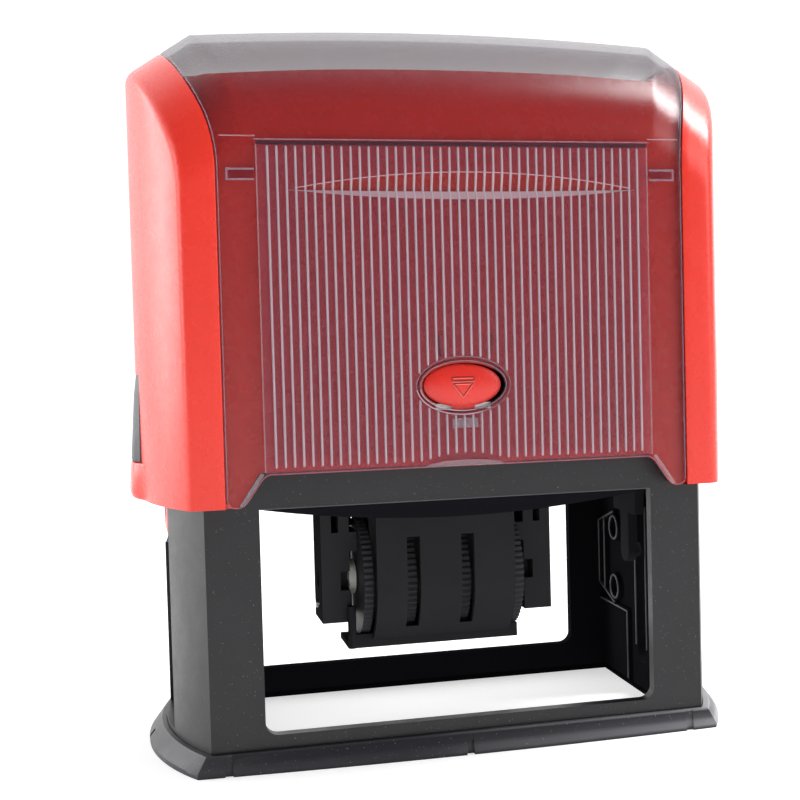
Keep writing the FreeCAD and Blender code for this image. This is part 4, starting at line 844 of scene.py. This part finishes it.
def make_panel():
    """A thin hazy sheet with the ribs on it, a painted shadow line and a painted highlight line above it, and
    beads along the rims.
    """
    verts, faces = prism(rectangle(-30.7, 30.7, COVER_EDGE + 0.1, 95.5), "y", FACE - 0.05, FACE + 0.05)
    sheet = solid("hazy_panel", verts, faces, "housing", haze_clear)
    cut_prism(sheet, ellipse(0, BUTTON_Z, 7.3, 4.3), "y", *FRONT_CUT)
    carve(sheet, loose("scoop", scoop_cutter()))
    finish_mesh("cover_ribs", rib_mesh(), "housing", frosted, sharp=50)
    # Painted shadow: a dark strip above the panel, with a painted highlight line over it
    bar("panel_shadow_line", (-30.9, 30.9), (FACE - 0.1, FACE + 0.1), (95.1, 95.75), "housing", shadow_clear,
        0.06)
    bar("panel_highlight_line", (-31.2, 31.2), (FACE - 0.12, FACE + 0.1), (95.85, 96.02), "housing", edge_highlight_clear,
        0.05)
    scoop_highlights()
    notch = ellipse(0, COVER_EDGE + 0.1, 6.2, 0.9, 48)[:25]
    verts, faces = prism(notch, "y", FACE - 0.07, FACE + 0.02)
    solid("thumb_mark", verts, faces, "housing", patch_clear)
    bar("latch_patch", (-1.95, 2.15), (FACE - 0.1, FACE + 0.05), (51.75, 53.25), "housing", patch_clear,
        0.1)
    for side, sign in SIDES:
        line = ordered(sign, 30.9, 36.2)
        bar("shoulder_line_" + side, line, (FACE - 0.08, FACE + 0.1), (96.35, 96.52), "housing",
            patch_clear, 0.04)
        edge = ordered(sign, 30.75, 30.95)
        bar("panel_edge_" + side, edge, (FACE - 0.07, FACE + 0.1), (COVER_EDGE + 0.4, 95.3), "housing",
            patch_clear, 0.04)
        latch_frame("latch_frame_" + side, sign)
        streak("spring_clip_" + side, sign)
        slant = [(34.9, 41.35), (34.25, 41.25), (31.05, 45.95), (31.6, 46.15)]
        verts, faces = prism([(sign * x, z) for x, z in slant], "y", FACE - 0.02, FACE + 0.04)
        solid("slant_haze_" + side, verts, faces, "housing", patch_clear)


def scoop_highlights():
    """Painted highlights: a light sheet on the scoop's lower slope, which faces up into the light, and a thin
    light line along its top.
    """
    count, verts, faces = 48, [], []
    for place in range(count + 1):
        x, top, deep, foot, sunk = scoop_lines(2 * place / count - 1)
        for y, z in ((FACE - 0.03, foot), (FACE + sunk - 0.05, deep), (FACE + sunk - 0.02, deep),
                     (FACE, foot)):
            verts.append((x, y, z))
    for place in range(count):
        for k in range(4):
            near, after = 4 * place + k, 4 * place + (k + 1) % 4
            faces.append((near, after, after + 4, near + 4))
    faces.extend([(0, 1, 2, 3), tuple(range(4 * count + 3, 4 * count - 1, -1))])
    solid("scoop_slope", verts, faces, "housing", highlight_clear)
    spots = [scoop_lines(place / 30) for place in range(-29, 30)]
    tube("scoop_line", [(x, FACE - 0.02, top) for x, top, deep, foot, sunk in spots], 0.07, "housing",
         highlight_clear)


def latch_frame(name, sign):
    """Three thin bars in painted-highlight colour round a latch window beside the panel."""
    near, far, low, high, line = 31.2, 35.4, 89.85, 91.7, 0.32
    outline = [(near, high), (far, high), (far, low), (near, low), (near, low + line),
               (far - line, low + line), (far - line, high - line), (near, high - line)]
    verts, faces = prism([(sign * x, z) for x, z in outline], "y", FACE - 0.08, FACE + 0.05)
    bevelled(solid(name, verts, faces, "housing", edge_highlight_clear), 0.05)
    window = ordered(sign, near, far - line)
    bar(name + "_window", window, (FACE - 0.03, FACE + 0.02), (low + line, high - line), "housing",
        deep_clear, 0.01)


def streak(name, sign):
    """A leaf of the spring clip behind the cover."""
    outline = [(3.7, 62.9), (4.3, 63.0), (4.45, 66.2), (4.0, 66.3)]
    verts, faces = prism([(sign * x + 0.55, z) for x, z in outline], "y", -25.02, -24.94)
    bevelled(solid(name, verts, faces, "housing", smudge_clear), 0.03)


def tube(name, points, radius, body, material, closed=False):
    """A round bead along a line of points."""
    data = bpy.data.curves.new(name, "CURVE")
    data.dimensions = "3D"
    data.bevel_depth = radius / 1000
    data.bevel_resolution = 2
    data.use_fill_caps = True
    spline = data.splines.new("POLY")
    spline.points.add(len(points) - 1)
    for spot, (x, y, z) in zip(spline.points, points):
        spot.co = (x / 1000, y / 1000, z / 1000, 1)
    spline.use_cyclic_u = closed
    line = loose(name + "_line", data)
    graph = bpy.context.evaluated_depsgraph_get()
    graph.update()
    mesh = bpy.data.meshes.new_from_object(line.evaluated_get(graph))
    bpy.data.objects.remove(line)
    bpy.data.curves.remove(data)
    mesh.name = name
    return finish_mesh(name, mesh, body, material, sharp=60)


def oval_line(half_x, half_z, y, count=72):
    return [(x, y, z) for x, z in ellipse(0, BUTTON_Z, half_x, half_z, count)]


def make_rims():
    """Painted highlights as thin light beads: the cover's seams, its lower edge and the ring round the
    button.
    """
    lows = (lower_edge(COVER_EDGE, 0.8, 1.2),) * 2
    for side, sign in SIDES:
        seam = column("edge", sign * (SEAM + GAP + 0.12), 0.18, lows, UNCUT)
        tube("seam_bead_" + side, seam, 0.09, "housing", edge_highlight_clear)
    reach = CAP_HALF - SEAM - GAP - 0.1
    for face, label in ((-1, "front"), (1, "back")):
        line = [(reach * k / 120, face * (HALF_DEEP - 0.12), lows[0](reach * k / 120) + 0.1)
                for k in range(-120, 121)]
        # Painted highlight along the cover's lower edge
        tube("edge_bead_" + label, line, 0.1, "housing", rose_highlight_clear)
    tube("ring_bead_outer", oval_line(7.5, 4.5, FACE - 0.02), 0.06, "housing", patch_clear,
         True)
    tube("ring_bead_inner", oval_line(6.85, 3.85, FACE - 0.02), 0.08, "housing", edge_highlight_clear,
         True)
    # Painted highlights along the lower left of the ring's rims
    lower_left = oval_line(7.45, 4.45, FACE - 0.05, 120)[62:99]
    tube("ring_glint_outer", lower_left, 0.09, "housing", highlight_clear)
    tube("ring_glint_inner", oval_line(6.9, 3.9, FACE - 0.05, 120)[62:96], 0.07, "housing", highlight_clear)
    collar = oval_collar(7.1, 4.1, 6.75, 3.75, FACE + 0.02, FACE + 1.25)
    finish_mesh("button_ring", collar, "housing", smoky)


def oval_collar(out_x, out_z, in_x, in_z, front, back, count=72):
    """An oval ring with a closed section."""
    loops = [(out_x, out_z, front), (in_x, in_z, front), (in_x, in_z, back), (out_x, out_z, back)]
    verts = []
    for half_x, half_z, y in loops:
        verts.extend(oval_line(half_x, half_z, y, count))
    return from_lists("button_ring", verts, ring_faces(count))


make_panel()
make_rims()


# Lock button

def dome(x, z):
    """The button's face: how far it lies in front of the button's rim."""
    share = (x / BUTTON_HALF_X) ** 2 + ((z - BUTTON_Z) / BUTTON_HALF_Z) ** 2
    return 0.72 * math.sqrt(max(0.0, 1 - 0.96 * share))


def make_button():
    """A domed oval with a tab below, a raised bar and a triangle that points down."""
    rings, count, face, back = 14, 96, -25.28, -23.4
    verts = [(0, face - dome(0, BUTTON_Z), BUTTON_Z)]
    faces = []
    for ring in range(1, rings + 1):
        share = math.sin(math.pi / 2 * ring / rings)
        for x, z in ellipse(0, BUTTON_Z, BUTTON_HALF_X * share, BUTTON_HALF_Z * share, count):
            verts.append((x, face - dome(x, z), z))
    verts.extend((x, back, z) for x, z in ellipse(0, BUTTON_Z, BUTTON_HALF_X, BUTTON_HALF_Z, count))
    for k in range(count):
        after = (k + 1) % count
        faces.append((0, 1 + k, 1 + after))
        for ring in range(rings):
            near = 1 + ring * count
            faces.append((near + k, near + count + k, near + count + after, near + after))
    faces.append(tuple(1 + rings * count + k for k in range(count)))
    piece = solid("button_cap", verts, faces, "lock_button", button_red, 50)
    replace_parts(piece, "lock_button")
    bar("button_tab", (-1.85, 1.85), (-25.62, -25.52), (BUTTON_Z - 3.9, BUTTON_Z - 2.6), "lock_button",
        button_red, 0.2)
    raised = [
        ("button_bar", [(-1.75, 1.25), (1.75, 1.25), (1.75, 0.7), (-1.75, 0.7)]),
        ("button_arrow", [(-1.55, 0.32), (1.55, 0.32), (0, -1.75)]),
    ]
    for name, corners in raised:
        line = []
        for place, (x, z) in enumerate(corners):
            far_x, far_z = corners[(place + 1) % len(corners)]
            line.extend((x + (far_x - x) * k / 8, z + (far_z - z) * k / 8) for k in range(8))
        spots = [(x, face - dome(x, z + BUTTON_Z) + 0.02, z + BUTTON_Z) for x, z in line]
        # Painted shade: each raised mark's outline in darker red
        tube(name, spots, 0.12, "lock_button", button_shade_line, True)
        # Painted highlight: a light line just below each outline
        glint = [(x, face - dome(x, z + BUTTON_Z) + 0.02, z + BUTTON_Z - 0.17) for x, z in line]
        tube(name + "_glint", glint, 0.07, "lock_button", button_glint, True)
    # Painted shade: a near-black flange fills the gap round the button
    verts, faces = prism(ellipse(BORE_X, BORE_Z, 6.6, 3.46), "y", -24.85, -24.5)
    solid("button_flange", verts, faces, "lock_button", painted_shade_black)
    # Painted highlight: a white strip in the gap below the button
    bar("button_leaf", (-4.3, 4.5), (-25.2, -25.05), (BUTTON_Z - 3.72, BUTTON_Z - 2.75), "lock_button",
        leaf_lit_white, 0.05)


make_button()


# The housing's sides: bumps, grips, legs and spring collars. Rows of a swelling beyond PROUD fade into
# the side, the others stay inside it.

PROUD, SUNK = 48.99, 0.8


def swelling(sign, rows, half, fade, reach, steps=36):
    """A piece that stands out of the housing's side and fades into it at the front and back."""
    verts, faces = [], []
    for k in range(steps + 1):
        y = reach * (2 * k / steps - 1)
        share = min(1.0, max(0.0, (half - abs(y)) / fade))
        share = share * share * (3 - 2 * share)
        wall = side_x(y) - 0.12
        for z, x in rows:
            out = wall + (x - side_x(0)) * share if x > PROUD else wall - SUNK
            verts.append((sign * out, y, z))
    line = len(rows)
    for k in range(steps):
        for r in range(line):
            near, after = k * line + r, k * line + (r + 1) % line
            faces.append((near, after, after + line, near + line))
    faces.extend([tuple(range(line)), tuple(steps * line + r for r in range(line - 1, -1, -1))])
    return from_lists("swelling", verts, faces)


def bump_piece(side, sign):
    """The swelling of the housing's side below the grip."""
    rows = [(CAP_LOW + 0.02, 48.3), (CAP_LOW + 0.05, 50.0), (CAP_LOW + 0.35, 50.42), (CAP_LOW + 1.2, 50.6),
            (44.5, 50.42), (SEAT_LOW - 0.35, 50.24), (SEAT_LOW - 0.06, 50.1), (SEAT_LOW, 49.8),
            (SEAT_LOW, 48.3)]
    mesh = swelling(sign, rows, 9.4, 4.4, 9.4)
    return finish_mesh("side_bump_" + side, mesh, "housing", red, 40)


def make_sides():
    """Bumps, grips, legs with their webs and the spring collars on both sides."""
    for side, sign in SIDES:
        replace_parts(bump_piece(side, sign), "cap_shell")
        rows = [(SEAT_LOW + 0.07, 48.3), (SEAT_LOW + 0.07, 50.0), (SEAT_LOW + 0.3, 50.2), (52.0, 49.86),
                (57.6, 49.46), (58.4, 49.34), (GRIP_HIGH, 49.0), (GRIP_HIGH, 48.3)]
        insert = finish_mesh("grip_%s_insert" % side, swelling(sign, rows, 7.4, 3.6, GRIP_HALF), "housing",
                             grip_black, 40)
        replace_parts(insert, "side_grip_" + side)
        leg = rounded(rectangle(-8, 8, 35.1, 57.5), 1.5)
        verts, faces = prism(leg, "x", *ordered(sign, 43.6, 44.9))
        plate = bevelled(solid("leg_" + side, verts, faces, "housing", red), 0.2)
        bore = ellipse(0, 38.5, 2.15, 2.15, 48)
        cut_prism(plate, bore, "x", *ordered(sign, 42, 46))
        for y in (-8, 8):
            web = (y - 0.6, y + 0.6)
            bar("leg_web_%s_%s" % (side, "front" if y < 0 else "back"), ordered(sign, 44.5, 47.6), web,
                (CAP_LOW + 0.4, 57), "housing", red, 0.2)
        finish_mesh("spring_collar_" + side, collar_mesh(sign * 26.0), "housing", red)


def collar_mesh(x, count=40):
    """A short round collar under the roof."""
    loops = [(5.45, 102.2), (6.65, 102.2), (6.65, 106.3), (5.45, 106.3)]
    verts = [(u, v, z) for radius, z in loops for u, v in ellipse(x, 0, radius, radius, count)]
    return from_lists("collar", verts, ring_faces(count))


make_sides()


# Base and dater: rounded copies of their solids, then beads, webs and sleeves

copied("base_moulding", "base_frame", "base", black, 0.3)
copied("foot_moulding", "foot_ring", "base", foot_black, 0.35)
copied("cartridge_moulding", "ink_cartridge", "base", cartridge_black, 0.25)
copied("carrier_moulding", "carrier", "plate_carrier", dater_black, 0.2)
copied("guard_moulding", "wheel_guard", "plate_carrier", dater_black, 0.15)
copied("end_block_left_moulding", "end_block_left", "plate_carrier", block_lit_black, 0.25)
copied("end_block_right_moulding", "end_block_right", "plate_carrier", block_lit_black, 0.25)


CAM_X, CAM_Z, CAM_NEAR, CAM_FAR = 37.66, 23.25, 12.2, 20.6
STEP_X, STEP_Z, LINE_X = 37.86, 14.05, 38.36


def cam_highlight_beads():
    """Painted highlights as light beads on the crests of the cam ribs, the guide step and the hooks on both
    inner sides.
    """
    for side, sign in SIDES:
        x = sign * CAM_X
        for label, way in (("upper", 1), ("lower", -1)):
            hook = [(x, y, z) for y, z in ellipse(CAM_NEAR, CAM_Z + way * 5.6, 2.15, 2.15, 32)]
            tube("cam_hook_%s_%s" % (label, side), hook, 0.2, "base", highlight_black, True)
        track = [(x, CAM_NEAR, CAM_Z + 8.6), (x, CAM_FAR, CAM_Z + 6.0), (x, CAM_FAR, CAM_Z - 6.0),
                 (x, CAM_NEAR, CAM_Z - 8.6)]
        tube("cam_track_" + side, track, 0.2, "base", highlight_black)
        tube("cam_rib_" + side, [(x, 17.45, CAM_Z + 6.6), (x, 17.45, CAM_Z - 6.6)], 0.2, "base", highlight_black)
        step = [(sign * STEP_X, y, z) for y, z in ((20.5, STEP_Z), (5.95, STEP_Z), (5.95, 1.6))]
        tube("guide_bead_" + side, step, 0.18, "base", highlight_black)
        # Painted highlights along the rims of the guide slot
        for label, y, low, high in (("near", -2.62, 8.6, 34.3), ("far", 2.62, 8.6, 30.0)):
            tube("guide_line_%s_%s" % (label, side), [(sign * LINE_X, y, low), (sign * LINE_X, y, high)], 0.2,
                 "base", highlight_black)
    # Painted highlight along the beam's lower front edge
    tube("beam_edge", [(x, -22.98, 40.36) for x in (-31.4, 0, 31.4)], 0.11, "base", highlight_black)


SHAFT_Z, HUB_RADIUS, HUB_BORE = 25.2, 2.9, 1.6


def guard_webs():
    """Low webs behind the guard's slots, backings behind the end blocks, painted-shade backings in the gaps
    beside them and sleeves on the hubs.
    """
    for place, span in enumerate(((-11.7, -6.55), (-4.65, 2.65), (4.55, 11.6)), start=1):
        bar("guard_web_%d" % place, span, (2.85, 3.4), (14.6, 17.35), "plate_carrier", dater_black,
            0.12)
    for side, sign in SIDES:
        bar("block_backing_" + side, ordered(sign, 13.6, 19.7), (3.1, 3.7), (33.5, 41.1), "plate_carrier",
            dater_black, 0.1)
        # Painted shade: a near-black backing in the gap beside each end block
        bar("gap_backing_" + side, ordered(sign, 13.8, 15.3), (3.1, 3.7), (18.3, 33.4), "plate_carrier",
            painted_shade_black, 0.1)
        count, verts = 32, []
        for x, radius in ((15.1, HUB_RADIUS), (13.9, HUB_RADIUS), (13.9, HUB_BORE), (15.1, HUB_BORE)):
            verts.extend((sign * x, y, z) for y, z in ellipse(0, SHAFT_Z, radius, radius, count))
        solid("hub_sleeve_" + side, verts, ring_faces(count), "plate_carrier", hub_grey)


cam_highlight_beads()
guard_webs()

# Solids that are shown as they are, with the scene's materials

SHOWN = {"text_plate": plate_grey, "rubber_die": die_rubber, "bridge_bar": dater_black,
         "wheel_shaft": steel, "dowel_left": steel, "dowel_right": steel}
for number in range(1, 5):
    SHOWN["band_%d" % number], SHOWN["wheel_%d" % number] = band_rubber, wheel_black
for name, material in SHOWN.items():
    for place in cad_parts[name].material_slots:
        place.material = material

# Springs and ink pad; the springs get meshes of their own

for side in ("left", "right"):
    spring = copied("coil_" + side, "return_spring_" + side, "base", wire, 0)
    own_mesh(spring)

sponge = copied("ink_sponge", "ink_pad", "base", foam, 0.4)
